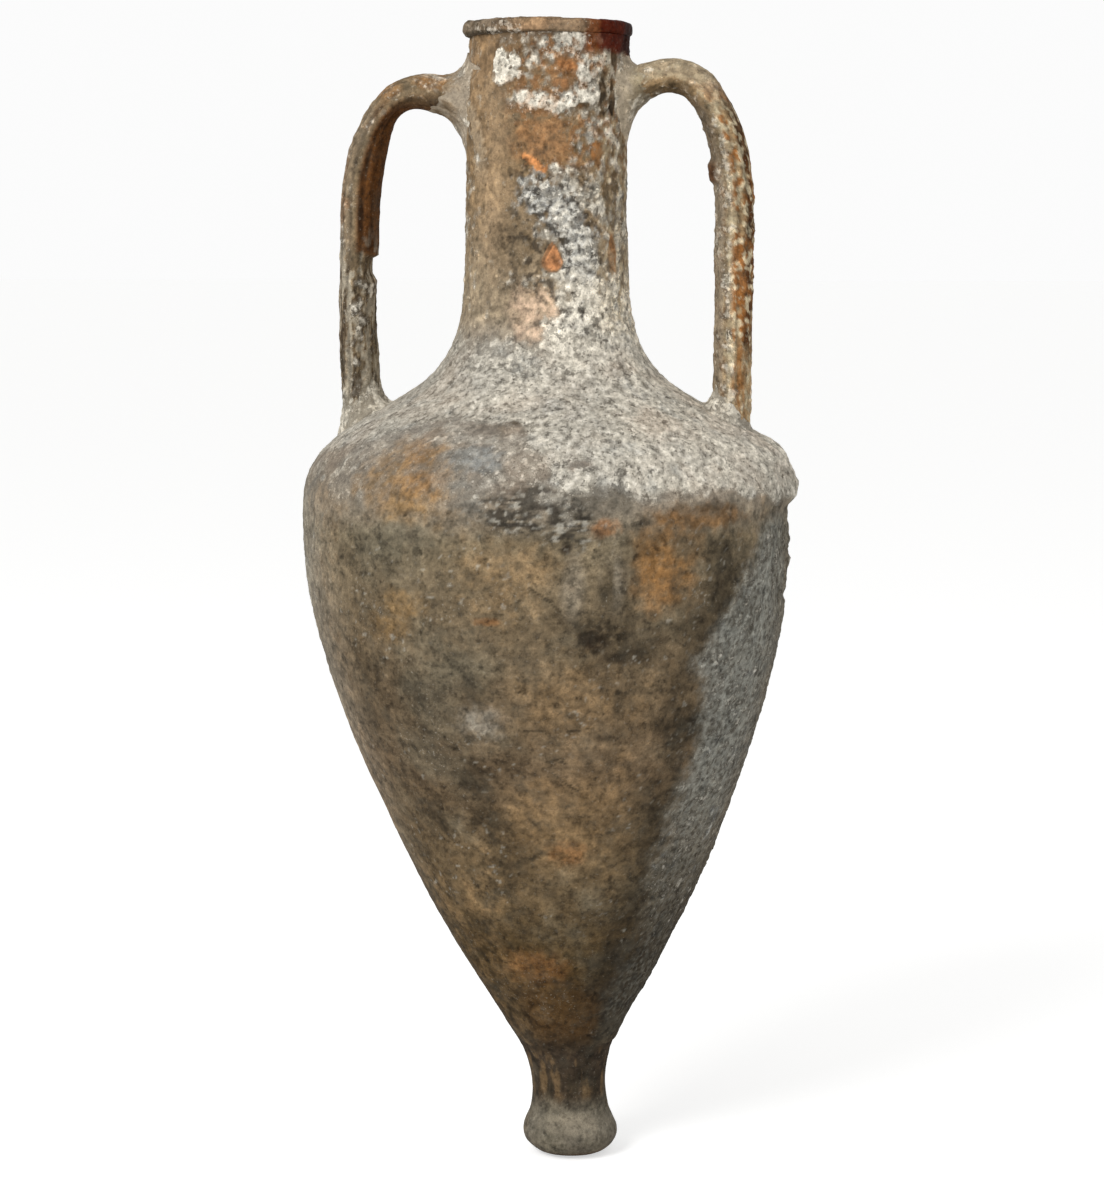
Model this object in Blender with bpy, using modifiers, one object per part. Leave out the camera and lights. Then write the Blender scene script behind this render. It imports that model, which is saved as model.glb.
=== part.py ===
"""A two-handled transport amphora, as the pieces a potter throws, pulls and lutes together.

Metres, +Z up. The origin is the centre of the toe's flat underside. +X points to the right-hand
handle. The jar is turned in sections that meet at slanted scarf seams, each seam backed by a coil
pressed on from inside. Below its widest part the jar leans, so the toe stands off the neck's axis.
"""

import math

import bmesh
import bpy
import numpy as np

# --- whole jar -------------------------------------------------------------------------------
HEIGHT = 0.800
GAP = 0.0003
SEGMENTS = 48
WELD_DISTANCE = 1e-6
POLE_MERGE = 0.0001
SHARP_ANGLE = math.radians(35)

# Outer wall as (height, radius): knobbed toe, cone, belly, shoulder turn, flare, waisted neck.
OUTER_WALL = (
    (0.000, 0.0150),
    (0.0015, 0.0215),
    (0.005, 0.0280),
    (0.010, 0.0325),
    (0.016, 0.0340),
    (0.023, 0.0322),
    (0.031, 0.0286),
    (0.042, 0.0266),
    (0.054, 0.0264),
    (0.066, 0.0284),
    (0.082, 0.0348),
    (0.130, 0.0618),
    (0.200, 0.0992),
    (0.270, 0.1290),
    (0.340, 0.1530),
    (0.400, 0.1668),
    (0.440, 0.1706),
    (0.465, 0.1714),
    (0.480, 0.1704),
    (0.493, 0.1660),
    (0.504, 0.1585),
    (0.514, 0.1480),
    (0.524, 0.1338),
    (0.534, 0.1160),
    (0.544, 0.0980),
    (0.556, 0.0820),
    (0.570, 0.0704),
    (0.590, 0.0616),
    (0.620, 0.0573),
    (0.660, 0.0562),
    (0.700, 0.0552),
    (0.740, 0.0560),
    (0.790, 0.0568),
)
# Wall thickness as (height, thickness): heavy near the toe, even above.
WALL_THICKNESS = ((0.06, 0.018), (0.10, 0.014), (0.16, 0.011), (0.30, 0.009), (0.80, 0.009))

# Fineness with which the inner face is found behind the outer one.
SLOPE_STEP = 0.0005
INNER_SAMPLES = 300
INNER_FACE_TOP = 0.788

# The jar leans below LEAN_TOP: the axis shifts by LEAN_SHIFT on its way down to the toe.
LEAN_TOP = 0.420
LEAN_SHIFT = 0.0178
LEAN_POWER = 1.06

# --- seams between the thrown sections: height at the outer face, and rise to the inner face ---
TOE_SEAM = 0.068
BELLY_SEAM = 0.318
SHOULDER_SEAM = 0.468
NECK_SEAM = 0.574
SCARF_RISE = 0.009
SEAM_GAP = 0.0005

# --- spacing of the rings of points along each section's outer face ---
NECK_SPACING = 0.026
SHOULDER_SPACING = 0.012
UPPER_BODY_SPACING = 0.030
LOWER_BODY_SPACING = 0.032
INNER_COARSENING = 1.4

# --- rim ---------------------------------------------------------------------------------------
RIM_RADIUS = 0.0592
RIM_BOTTOM = 0.7905
RIM_EDGE_ROUND = 0.0028
RIM_EDGE_TURN = 30
RIM_FACE_LOW = 0.0034
RIM_UNDERCUT = 0.0032
RIM_UNDERCUT_ROUND = 0.0011
MOUTH_RADIUS = 0.0488
MOUTH_BEVEL_WIDTH = 0.0022
MOUTH_BEVEL_STEP = 0.0008
MOUTH_BEVEL_DROP = 0.0012
TONGUE_TOP = 0.7955
TONGUE_RADIUS = 0.0530
NECK_INNER_MARGIN = 0.013

# --- toe and inner plug --------------------------------------------------------------------------
TENON_RADIUS = 0.0115
TENON_TOP = 0.0860
STEM_RING_MARGIN = 0.003
CONE_RISE = 0.0040
PLUG_RISE = 0.0060
PLUG_TOP = 0.1180
PLUG_CROWN = 0.0060
PLUG_CROWN_REACH = 0.0160
PLUG_CROWN_SHARE = 0.8
PLUG_SPACING = 0.013

# --- inner luting coils --------------------------------------------------------------------------
COIL_RADIUS = 0.0050
COIL_SIDES = 6

# --- handles: oval straps, sprung from the neck and pressed on to the shoulder ---------------------
STRAP_HALF_THICKNESS = 0.0132
STRAP_HALF_WIDTH = 0.0185
STRAP_SIDES = 16
STRAP_ROOT = 0.050
STRAP_SPRING = 0.0850
STRAP_FOOT = 0.5020
HANDLES = {
    "handle_right": {
        "side": 1.0, "root_height": 0.7545, "crest": 0.7628, "crest_scale": 0.82, "bend_low": 0.670,
        "bend_reach": 0.1310, "mid_reach": 0.1305, "foot_reach": 0.1295, "top_luting_rise": 0.0015,
    },
    "handle_left": {
        "side": -1.0, "root_height": 0.7500, "crest": 0.7525, "crest_scale": 1.00, "bend_low": 0.664,
        "bend_reach": 0.1325, "mid_reach": 0.1345, "foot_reach": 0.1310, "top_luting_rise": -0.0025,
    },
}
BEND_FULLNESS = 2.15
# Heights between which a cutter with the wall's shape trims the straps and their luting.
CUTTER_TOP = 0.786
CUTTER_BOTTOM = 0.450
NECK_FOOT = 0.600
CUTTER_NECK_SPACING = 0.020
CUTTER_FLARE_SPACING = 0.010
STRAP_MIDDLE = 0.600
LUTING_LIP = 0.12
LUTING_EASE = 1.6
LUTING_RING_MARGIN = 0.004
# The clay is dragged up and down the neck at the strap's root, by these factors.
LUTINGS = {
    "top": {"length": 0.033, "flare": 0.55, "inward": 0.0, "drag_up": 1.15, "drag_down": 2.0},
    "foot": {"length": 0.058, "flare": 0.42, "inward": 0.0035, "drag_up": 1.0, "drag_down": 1.0},
}

# --- fired clay, colours as seen on the weathered and encrusted faces -------------------------------
CLAYS = {
    "rim_clay": ((0.30, 0.19, 0.12), 0.72),
    "neck_clay": ((0.36, 0.25, 0.17), 0.86),
    "shoulder_clay": ((0.42, 0.38, 0.32), 0.90),
    "body_clay": ((0.19, 0.14, 0.09), 0.84),
    "toe_clay": ((0.16, 0.12, 0.08), 0.84),
    "handle_clay": ((0.30, 0.21, 0.14), 0.86),
    "luting_clay": ((0.36, 0.29, 0.21), 0.90),
}


def clear_scene():
    for obj in list(bpy.data.objects):
        bpy.data.objects.remove(obj)


def new_collection(name):
    collection = bpy.data.collections.new(name)
    bpy.context.scene.collection.children.link(collection)
    return collection


def make_clay(name):
    colour, roughness = CLAYS[name]
    clay = bpy.data.materials.new(name)
    clay.use_nodes = True
    shader = clay.node_tree.nodes["Principled BSDF"]
    shader.inputs["Base Color"].default_value = (*colour, 1.0)
    shader.inputs["Roughness"].default_value = roughness
    shader.inputs["Metallic"].default_value = 0.0
    return clay


# --- the jar's wall -----------------------------------------------------------------------------
def through(stations, height):
    """A smooth curve through (height, value) stations: cubic pieces that share slopes."""
    heights, values = np.array(stations).T
    slopes = np.gradient(values, heights)
    i = int(np.clip(np.searchsorted(heights, height) - 1, 0, len(heights) - 2))
    span = heights[i + 1] - heights[i]
    t = (height - heights[i]) / span
    return float(
        (2 * t**3 - 3 * t**2 + 1) * values[i]
        + (t**3 - 2 * t**2 + t) * span * slopes[i]
        + (3 * t**2 - 2 * t**3) * values[i + 1]
        + (t**3 - t**2) * span * slopes[i + 1]
    )


def outer_radius(height):
    return through(OUTER_WALL, height)


def wall_thickness(height):
    heights, thicknesses = zip(*WALL_THICKNESS)
    return float(np.interp(height, heights, thicknesses))


def wall_normal(height):
    """The wall's outward direction at a height, as (radial, upward)."""
    rise = outer_radius(height + SLOPE_STEP) - outer_radius(height - SLOPE_STEP)
    slope = rise / (2 * SLOPE_STEP)
    length = math.hypot(1.0, slope)
    return 1.0 / length, -slope / length


def inner_point(height):
    """The point of the inner face that lies square behind the outer face at this height."""
    radial, upward = wall_normal(height)
    thickness = wall_thickness(height)
    return outer_radius(height) - thickness * radial, height - thickness * upward


def inner_radius(height):
    """The inner face's radius at a height of its own."""
    samples = [inner_point(h) for h in np.linspace(TOE_SEAM, INNER_FACE_TOP, INNER_SAMPLES)]
    radii, heights = zip(*sorted(samples, key=lambda point: point[1]))
    return float(np.interp(height, heights, radii))


def axis_shift(height):
    """How far the jar's axis stands from the toe's centre, along X."""
    drop = max(0.0, (LEAN_TOP - height) / LEAN_TOP)
    return LEAN_SHIFT * (drop**LEAN_POWER - 1.0)


# --- Blender helpers ------------------------------------------------------------------------------
def mesh_object(name, mesh, collection):
    obj = bpy.data.objects.new(name, mesh)
    collection.objects.link(obj)
    return obj


def bake(obj):
    """Turns an object and its modifiers into a plain welded mesh object of the same name."""
    bpy.context.view_layer.update()
    evaluated = obj.evaluated_get(bpy.context.evaluated_depsgraph_get())
    mesh = bpy.data.meshes.new_from_object(evaluated)
    mesh.transform(obj.matrix_world)
    name, collection = obj.name, obj.users_collection[0]
    bpy.data.objects.remove(obj)
    bm = bmesh.new()
    bm.from_mesh(mesh)
    bmesh.ops.remove_doubles(bm, verts=bm.verts, dist=WELD_DISTANCE)
    bmesh.ops.recalc_face_normals(bm, faces=bm.faces)
    bm.to_mesh(mesh)
    bm.free()
    return mesh_object(name, mesh, collection)


def lean(obj):
    """Shifts each level of a turned piece along X, so that the piece follows the leaning axis."""
    for vertex in obj.data.vertices:
        vertex.co.x += axis_shift(vertex.co.z)


def finish(obj, clay):
    obj.data.materials.clear()
    obj.data.materials.append(clay)
    obj.data.shade_smooth()
    obj.data.set_sharp_from_angle(angle=SHARP_ANGLE)
    return obj


def turned(name, outline, collection, closed):
    """Revolves (radius, height) points about Z. An open outline starts and ends on the axis."""
    mesh = bpy.data.meshes.new(name)
    count = len(outline)
    edges = [(i, i + 1) for i in range(count - 1)]
    if closed:
        edges.append((count - 1, 0))
    mesh.from_pydata([(radius, 0.0, height) for radius, height in outline], edges, [])
    obj = mesh_object(name, mesh, collection)
    screw = obj.modifiers.new("turn", "SCREW")
    screw.axis = "Z"
    screw.steps = SEGMENTS
    screw.render_steps = SEGMENTS
    screw.use_merge_vertices = True
    screw.merge_threshold = POLE_MERGE
    obj = bake(obj)
    lean(obj)
    return obj


# --- thrown sections --------------------------------------------------------------------------------
def levels(low, high, spacing):
    """Evenly spaced heights from low to high, both included."""
    count = max(2, int(round((high - low) / spacing)) + 1)
    return np.linspace(low, high, count)


def section_outline(top, bottom, spacing):
    """A hollow section between two scarf seams: outer face down, inner face back up."""
    outer = [(outer_radius(h), h) for h in levels(bottom, top, spacing)[::-1]]
    inner_low, inner_high = bottom + SCARF_RISE, top + SCARF_RISE
    inner_spacing = spacing * INNER_COARSENING
    inner = [(inner_radius(h), h) for h in levels(inner_low, inner_high, inner_spacing)]
    return outer + inner


def build_section(name, top, bottom, spacing, clay, collection):
    outline = section_outline(top - SEAM_GAP / 2, bottom + SEAM_GAP / 2, spacing)
    return finish(turned(name, outline, collection, closed=True), clay)


def build_neck(clay, collection):
    """The neck ends in a tongue that the rim's clay is folded over."""
    seat = RIM_BOTTOM - SEAM_GAP
    low = NECK_SEAM + SEAM_GAP / 2
    outer = [(outer_radius(h), h) for h in levels(low, seat, NECK_SPACING)[::-1]]
    inner_spacing = NECK_SPACING * INNER_COARSENING
    inner = [(inner_radius(h), h) for h in levels(low + SCARF_RISE, seat - NECK_INNER_MARGIN, inner_spacing)]
    tongue = [
        (MOUTH_RADIUS, TONGUE_TOP),
        (TONGUE_RADIUS, TONGUE_TOP),
        (TONGUE_RADIUS, seat),
    ]
    return finish(turned("neck", outer + inner + tongue, collection, closed=True), clay)


def build_rim_lip(clay, collection):
    """A rolled band round the mouth, flat on top and undercut below."""
    tongue_wall = TONGUE_RADIUS + GAP
    round_over = []
    for step in range(4):
        turn = math.radians(90 - RIM_EDGE_TURN * step)
        round_over.append((
            RIM_RADIUS - RIM_EDGE_ROUND * (1 - math.cos(turn)),
            HEIGHT - RIM_EDGE_ROUND * (1 - math.sin(turn)),
        ))
    underside = [
        (RIM_RADIUS, RIM_BOTTOM + RIM_FACE_LOW),
        (RIM_RADIUS - RIM_UNDERCUT_ROUND, RIM_BOTTOM + RIM_UNDERCUT_ROUND),
        (RIM_RADIUS - RIM_UNDERCUT, RIM_BOTTOM),
        (tongue_wall, RIM_BOTTOM),
        (tongue_wall, TONGUE_TOP + GAP),
        (MOUTH_RADIUS, TONGUE_TOP + GAP),
        (MOUTH_RADIUS + MOUTH_BEVEL_STEP, HEIGHT - MOUTH_BEVEL_DROP),
        (MOUTH_RADIUS + MOUTH_BEVEL_WIDTH, HEIGHT),
    ]
    outline = round_over + underside
    return finish(turned("rim_lip", outline, collection, closed=True), clay)


def build_toe(clay, collection):
    """A solid turned knob on a short stem, with a tenon that plugs the body's open foot."""
    seam = TOE_SEAM - SEAM_GAP
    tenon = [(0.0, TENON_TOP), (TENON_RADIUS, TENON_TOP), (TENON_RADIUS, seam)]
    knob = [(outer_radius(h), h) for h, _ in OUTER_WALL[::-1] if h < seam - STEM_RING_MARGIN]
    outline = tenon + [(outer_radius(seam), seam)] + knob + [(0.0, 0.0)]
    return finish(turned("toe", outline, collection, closed=False), clay)


def build_lower_body(clay, collection):
    """The cone under the belly, open at its foot for the toe's tenon."""
    top = BELLY_SEAM - SEAM_GAP / 2
    outer = [(outer_radius(h), h) for h in levels(TOE_SEAM, top, LOWER_BODY_SPACING)[::-1]]
    bore = TENON_RADIUS + GAP
    inner = [(bore, TOE_SEAM), (bore, TENON_TOP)]
    inner_spacing = LOWER_BODY_SPACING * INNER_COARSENING
    cone = levels(TENON_TOP + CONE_RISE, top + SCARF_RISE, inner_spacing)
    inner += [(inner_radius(h), h) for h in cone]
    return finish(turned("lower_body", outer + inner, collection, closed=True), clay)


def build_base_plug(clay, collection):
    """The wad of clay rammed down inside, over the tenon, to seal the foot."""
    floor = TENON_TOP + PLUG_RISE
    wall = [(inner_radius(h) - 2 * GAP, h) for h in levels(floor, PLUG_TOP, PLUG_SPACING)[::-1]]
    shoulder = (PLUG_CROWN_REACH, PLUG_TOP + PLUG_CROWN_SHARE * PLUG_CROWN)
    outline = [(0.0, PLUG_TOP + PLUG_CROWN), shoulder]
    outline += wall + [(0.0, floor)]
    return finish(turned("base_plug", outline, collection, closed=False), clay)


def build_coil(name, seam, clay, collection):
    """A ring of clay pressed into the inner face, over a seam."""
    radial, upward = wall_normal(seam + SCARF_RISE / 2)
    offset = COIL_RADIUS + 2 * GAP
    height = seam + SCARF_RISE
    radius = inner_radius(height) - offset * radial
    height -= offset * upward
    outline = []
    for i in range(COIL_SIDES):
        turn = -2 * math.pi * i / COIL_SIDES
        outline.append((radius + COIL_RADIUS * math.cos(turn), height + COIL_RADIUS * math.sin(turn)))
    return finish(turned(name, outline, collection, closed=True), clay)


# --- handles and their luting -------------------------------------------------------------------------
def strap_path(shape):
    """The strap's centre line as (reach, height): out from the neck, over the bend, down."""
    path = []
    for t in np.linspace(0.0, 1.0, 5)[:-1]:
        ease = t * t * (3 - 2 * t)
        reach = STRAP_ROOT + (STRAP_SPRING - STRAP_ROOT) * t
        path.append((reach, shape["root_height"] + (shape["crest"] - shape["root_height"]) * ease))
    width = shape["bend_reach"] - STRAP_SPRING
    drop = shape["crest"] - shape["bend_low"]
    for angle in np.radians(np.linspace(90, 0, 9)):
        path.append((
            STRAP_SPRING + width * abs(math.cos(angle)) ** (2 / BEND_FULLNESS),
            shape["bend_low"] + drop * math.sin(angle) ** (2 / BEND_FULLNESS),
        ))
    for height in np.linspace(shape["bend_low"], STRAP_FOOT, 9)[1:]:
        if height > STRAP_MIDDLE:
            share = (shape["bend_low"] - height) / (shape["bend_low"] - STRAP_MIDDLE)
            ends = shape["bend_reach"], shape["mid_reach"]
        else:
            share = (STRAP_MIDDLE - height) / (STRAP_MIDDLE - STRAP_FOOT)
            ends = shape["mid_reach"], shape["foot_reach"]
        ease = share * share * (3 - 2 * share)
        path.append((ends[0] + (ends[1] - ends[0]) * ease, height))
    return path


def strap_scales(path, shape):
    """The strap's section, drawn thinner or thicker where it crests and full along its drop."""
    scales = []
    for reach, _ in path:
        share = min(1.0, max(0.0, (reach - STRAP_SPRING) / (shape["bend_reach"] - STRAP_SPRING)))
        scales.append(shape["crest_scale"] + (1.0 - shape["crest_scale"]) * share**2)
    return scales


def neck_axis():
    return axis_shift(HEIGHT)


def strap_section(name, margin, cutters):
    """The strap's oval cross-section, as the curve that is swept along its path."""
    curve = bpy.data.curves.new(name, "CURVE")
    spline = curve.splines.new("POLY")
    spline.points.add(STRAP_SIDES - 1)
    for i, point in enumerate(spline.points):
        turn = 2 * math.pi * i / STRAP_SIDES
        across = (STRAP_HALF_THICKNESS + margin) * math.cos(turn)
        along = (STRAP_HALF_WIDTH + margin) * math.sin(turn)
        point.co = (along, across, 0.0, 1.0)
    spline.use_cyclic_u = True
    obj = bpy.data.objects.new(name, curve)
    cutters.objects.link(obj)
    obj.hide_render = True
    return obj


def sweep(name, path, scales, side, section, collection):
    """Sweeps the section along a path in the XZ plane, on the given side of the neck."""
    curve = bpy.data.curves.new(name, "CURVE")
    curve.dimensions = "3D"
    curve.bevel_mode = "OBJECT"
    curve.bevel_object = section
    curve.use_fill_caps = True
    spline = curve.splines.new("POLY")
    spline.points.add(len(path) - 1)
    for point, (reach, height), scale in zip(spline.points, path, scales):
        point.co = (neck_axis() + side * reach, 0.0, height, 1.0)
        point.radius = scale
    obj = bpy.data.objects.new(name, curve)
    collection.objects.link(obj)
    return bake(obj)


def cut(obj, cutter):
    modifier = obj.modifiers.new("cut_" + cutter.name, "BOOLEAN")
    modifier.operation = "DIFFERENCE"
    modifier.solver = "EXACT"
    modifier.object = cutter


def as_cutter(obj):
    obj.hide_render = True
    obj.display_type = "WIRE"
    return obj


def build_wall_cutter(cutters):
    """The outside of neck and shoulder, grown by the gap: it shapes whatever is pressed on."""
    outline = []
    neck = levels(NECK_FOOT, CUTTER_TOP, CUTTER_NECK_SPACING)[::-1]
    flare = levels(CUTTER_BOTTOM, NECK_FOOT - CUTTER_FLARE_SPACING, CUTTER_FLARE_SPACING)[::-1]
    for h in list(neck) + list(flare):
        radial, upward = wall_normal(h)
        outline.append((outer_radius(h) + 2 * GAP * radial, h + 2 * GAP * upward))
    top, bottom = outline[0][1], outline[-1][1]
    outline = [(0.0, top)] + outline + [(0.0, bottom)]
    return as_cutter(turned("wall_cutter", outline, cutters, closed=False))


def part_of_path(path, start, length):
    """The stretch of a path from one end, with evenly spaced points, for a luting collar."""
    points = np.array(path if start == "top" else path[::-1])
    steps = np.linalg.norm(np.diff(points, axis=0), axis=1)
    along = np.concatenate([[0.0], np.cumsum(steps)])
    wanted = [s for s in along if s < length - LUTING_RING_MARGIN] + [length]
    return [(np.interp(s, along, points[:, 0]), np.interp(s, along, points[:, 1])) for s in wanted]


def luting_shape(stretch, flare, inward, rise):
    """A luting's path and section scales: wide against the wall, thinning to a lip on the strap.

    Near the wall the path moves inward, towards the neck, and up, so the clay is thicker there.
    """
    last = len(stretch) - 1
    near_wall = [(1 - i / last) ** LUTING_EASE for i in range(len(stretch))]
    path = [(r - inward * n, h + rise * n) for (r, h), n in zip(stretch, near_wall)]
    scales = [1.0 + LUTING_LIP + (flare - LUTING_LIP) * n for n in near_wall]
    return path, scales


def drag_clay(obj, path, side, luting):
    """Draws a collar up and down the wall near its root, so that it thins out over the neck."""
    root, root_height = path[0]
    reach = abs(path[-1][0] - root)
    for vertex in obj.data.vertices:
        away = side * (vertex.co.x - neck_axis()) - root
        near_wall = min(1.0, max(0.0, 1 - away / reach)) ** LUTING_EASE
        above = vertex.co.z - root_height
        factor = luting["drag_up"] if above > 0 else luting["drag_down"]
        vertex.co.z += above * (factor - 1) * near_wall


def build_luting(name, path, scales, side, section, luting, cutter_list, clay, collection):
    obj = sweep(name, path, scales, side, section, collection)
    if luting["drag_down"] != 1.0:
        drag_clay(obj, path, side, luting)
    for cutter in cutter_list:
        cut(obj, cutter)
    return finish(bake(obj), clay)


def build_handle(name, clays, collection, cutters, wall):
    shape = HANDLES[name]
    path = strap_path(shape)
    scales = strap_scales(path, shape)
    section = strap_section(name + "_section", 0.0, cutters)
    grown = strap_section(name + "_grown_section", GAP, cutters)
    strap = sweep(name, path, scales, shape["side"], section, collection)
    cut(strap, wall)
    finish(bake(strap), clays["handle_clay"])
    clearance = as_cutter(
        sweep(name + "_cutter", path, scales, shape["side"], grown, cutters)
    )
    for end, luting in LUTINGS.items():
        stretch = part_of_path(path, end, luting["length"])
        rise = shape["top_luting_rise"] if end == "top" else 0.0
        collar_path, collar_scales = luting_shape(stretch, luting["flare"], luting["inward"], rise)
        build_luting(
            f"{name}_{end}_luting", collar_path, collar_scales, shape["side"], section, luting,
            (clearance, wall), clays["luting_clay"], collection,
        )


# --- assembly -------------------------------------------------------------------------------------------
def build_amphora():
    clear_scene()
    jar = new_collection("amphora")
    cutters = new_collection("cutters")
    cutters.hide_render = True
    clays = {name: make_clay(name) for name in CLAYS}

    build_rim_lip(clays["rim_clay"], jar)
    build_neck(clays["neck_clay"], jar)
    build_section("shoulder", NECK_SEAM, SHOULDER_SEAM, SHOULDER_SPACING, clays["shoulder_clay"], jar)
    build_section("upper_body", SHOULDER_SEAM, BELLY_SEAM, UPPER_BODY_SPACING, clays["body_clay"], jar)
    build_lower_body(clays["body_clay"], jar)
    build_toe(clays["toe_clay"], jar)
    build_base_plug(clays["luting_clay"], jar)

    build_coil("neck_seam_coil", NECK_SEAM, clays["luting_clay"], jar)
    build_coil("shoulder_seam_coil", SHOULDER_SEAM, clays["luting_clay"], jar)
    build_coil("belly_seam_coil", BELLY_SEAM, clays["luting_clay"], jar)

    wall = build_wall_cutter(cutters)
    for name in HANDLES:
        build_handle(name, clays, jar, cutters, wall)


build_amphora()
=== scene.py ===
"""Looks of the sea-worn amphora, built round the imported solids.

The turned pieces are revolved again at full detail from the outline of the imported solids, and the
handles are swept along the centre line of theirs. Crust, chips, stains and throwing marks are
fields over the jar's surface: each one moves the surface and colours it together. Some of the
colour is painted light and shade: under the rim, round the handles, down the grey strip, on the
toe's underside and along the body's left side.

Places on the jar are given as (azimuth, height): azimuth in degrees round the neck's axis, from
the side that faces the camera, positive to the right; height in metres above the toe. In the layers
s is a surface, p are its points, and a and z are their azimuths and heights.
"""

import math
from concurrent.futures import ThreadPoolExecutor

import bpy
import numpy as np
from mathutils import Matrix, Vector
from mathutils.bvhtree import BVHTree


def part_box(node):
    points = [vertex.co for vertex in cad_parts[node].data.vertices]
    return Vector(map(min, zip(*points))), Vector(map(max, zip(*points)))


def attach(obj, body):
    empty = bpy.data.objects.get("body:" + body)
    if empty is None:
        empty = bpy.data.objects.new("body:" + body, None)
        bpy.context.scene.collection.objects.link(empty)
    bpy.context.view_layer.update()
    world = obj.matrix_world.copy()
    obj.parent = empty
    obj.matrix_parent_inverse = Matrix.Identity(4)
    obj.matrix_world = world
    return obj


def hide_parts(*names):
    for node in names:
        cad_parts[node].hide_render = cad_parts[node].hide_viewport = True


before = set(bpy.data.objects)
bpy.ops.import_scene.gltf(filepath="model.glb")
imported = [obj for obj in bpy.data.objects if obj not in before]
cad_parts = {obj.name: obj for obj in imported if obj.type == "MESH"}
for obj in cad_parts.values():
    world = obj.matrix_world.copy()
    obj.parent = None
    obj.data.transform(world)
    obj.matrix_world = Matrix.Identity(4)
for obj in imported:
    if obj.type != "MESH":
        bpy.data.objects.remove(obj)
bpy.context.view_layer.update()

# --- camera: the jar is seen from the front, a little from its right-hand handle ---
FRONT_TURN = math.radians(8.0)
CAMERA_DISTANCE = 2.100
CAMERA_HEIGHT = 0.645
CAMERA_SIDE = 0.0035
CAMERA_PITCH = math.radians(6.5926)
CAMERA_LENS = 90.52
SENSOR = 36.0

# --- surface detail, metres ---
COARSEN = 1.0
RING_STEP = 0.0014 * COARSEN
STRAP_STEP = 0.0013
INNER_STEP = 0.010
EDGE_RINGS = 5  # made past each end of a wall section, for its slopes, and then left off
SHARP_ANGLE = math.radians(70)
DARKEST_HOLLOW = -0.35
PALEST_RIDGE = 0.21
BUMP_STRENGTH = 0.75
BUMP_DEPTH = 0.0007
SCARF = 0.009
MM = 0.001
FAR = 9.0
UPWARD = np.array([0, 0, 1.0])


# --- noise fields ---
GRADIENTS = np.array(
    [
        (1, 1, 0), (-1, 1, 0), (1, -1, 0), (-1, -1, 0),
        (1, 0, 1), (-1, 0, 1), (1, 0, -1), (-1, 0, -1),
        (0, 1, 1), (0, -1, 1), (0, 1, -1), (0, -1, -1),
        (1, 1, 0), (0, -1, 1), (-1, 1, 0), (0, -1, -1),
    ],
    np.float32,
)
SHUFFLE_SIZE = 4096
SHUFFLE_MASK = SHUFFLE_SIZE - 1
SHUFFLE = np.random.default_rng(20261116).permutation(SHUFFLE_SIZE).astype(np.int32)
CORNERS = [(i, j, k) for i in (0, 1) for j in (0, 1) for k in (0, 1)]
NEIGHBOURS = [(i, j, k) for i in (-1, 0, 1) for j in (-1, 0, 1) for k in (-1, 0, 1)]
WORKERS = ThreadPoolExecutor(4)


def in_parallel(work):
    """Runs work(points, ...) on slices of the points, a slice to each worker."""

    def run(points, *rest):
        slices = np.array_split(np.asarray(points, np.float32), 16)
        results = list(WORKERS.map(lambda part: work(part, *rest), slices))
        if isinstance(results[0], tuple):
            return tuple(np.concatenate(column) for column in zip(*results))
        return np.concatenate(results)

    return run


def shuffled(x, y, z, seed):
    """A repeatable random whole number below SHUFFLE_SIZE for each cell."""
    h = SHUFFLE[(x + seed * 131) & SHUFFLE_MASK]
    h = SHUFFLE[(h + y) & SHUFFLE_MASK]
    return SHUFFLE[(h + z) & SHUFFLE_MASK]


@in_parallel
def noise(points, size, seed):
    """Gradient noise, about -1 to 1, with features about as large as size."""
    p = points / np.float32(size)
    cell = np.floor(p).astype(np.int32)
    f = p - cell
    fade = f * f * f * (f * (f * 6 - 15) + 10)
    total = np.zeros(len(p), np.float32)
    for i, j, k in CORNERS:
        value = shuffled(cell[:, 0] + i, cell[:, 1] + j, cell[:, 2] + k, seed)
        gradient = GRADIENTS[value & 15]
        weight = fade[:, 0] if i else 1 - fade[:, 0]
        weight = weight * (fade[:, 1] if j else 1 - fade[:, 1])
        weight = weight * (fade[:, 2] if k else 1 - fade[:, 2])
        slope = gradient[:, 0] * (f[:, 0] - i) + gradient[:, 1] * (f[:, 1] - j)
        total += weight * (slope + gradient[:, 2] * (f[:, 2] - k))
    return total.astype(float) * 1.35


def fbm(points, size, octaves, seed):
    """Layers of noise, each half as large and half as strong as the one before."""
    total, amplitude, weight = 0.0, 1.0, 0.0
    for layer in range(octaves):
        total = total + amplitude * noise(points, size / 2**layer, seed + 17 * layer)
        weight += amplitude
        amplitude /= 2
    return total / weight * 1.3


@in_parallel
def cells(points, size, seed):
    """Distance to the nearest of scattered points, in units of size, and that point's random value."""
    p = points / np.float32(size)
    cell = np.floor(p).astype(np.int32)
    f = p - cell
    nearest = np.full(len(p), FAR, np.float32)
    value = np.zeros(len(p), np.float32)
    for i, j, k in NEIGHBOURS:
        pick = shuffled(cell[:, 0] + i, cell[:, 1] + j, cell[:, 2] + k, seed)
        away = np.zeros(len(p), np.float32)
        for axis, step in enumerate((i, j, k)):
            spot = SHUFFLE[(pick + 977 * (axis + 1)) & SHUFFLE_MASK] / np.float32(SHUFFLE_SIZE)
            away += (f[:, axis] - step - spot) ** 2
        closer = away < nearest
        nearest = np.where(closer, away, nearest)
        own_value = SHUFFLE[(pick + 3011) & SHUFFLE_MASK] / np.float32(SHUFFLE_SIZE)
        value = np.where(closer, own_value, value)
    return np.sqrt(nearest).astype(float), value.astype(float)


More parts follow.
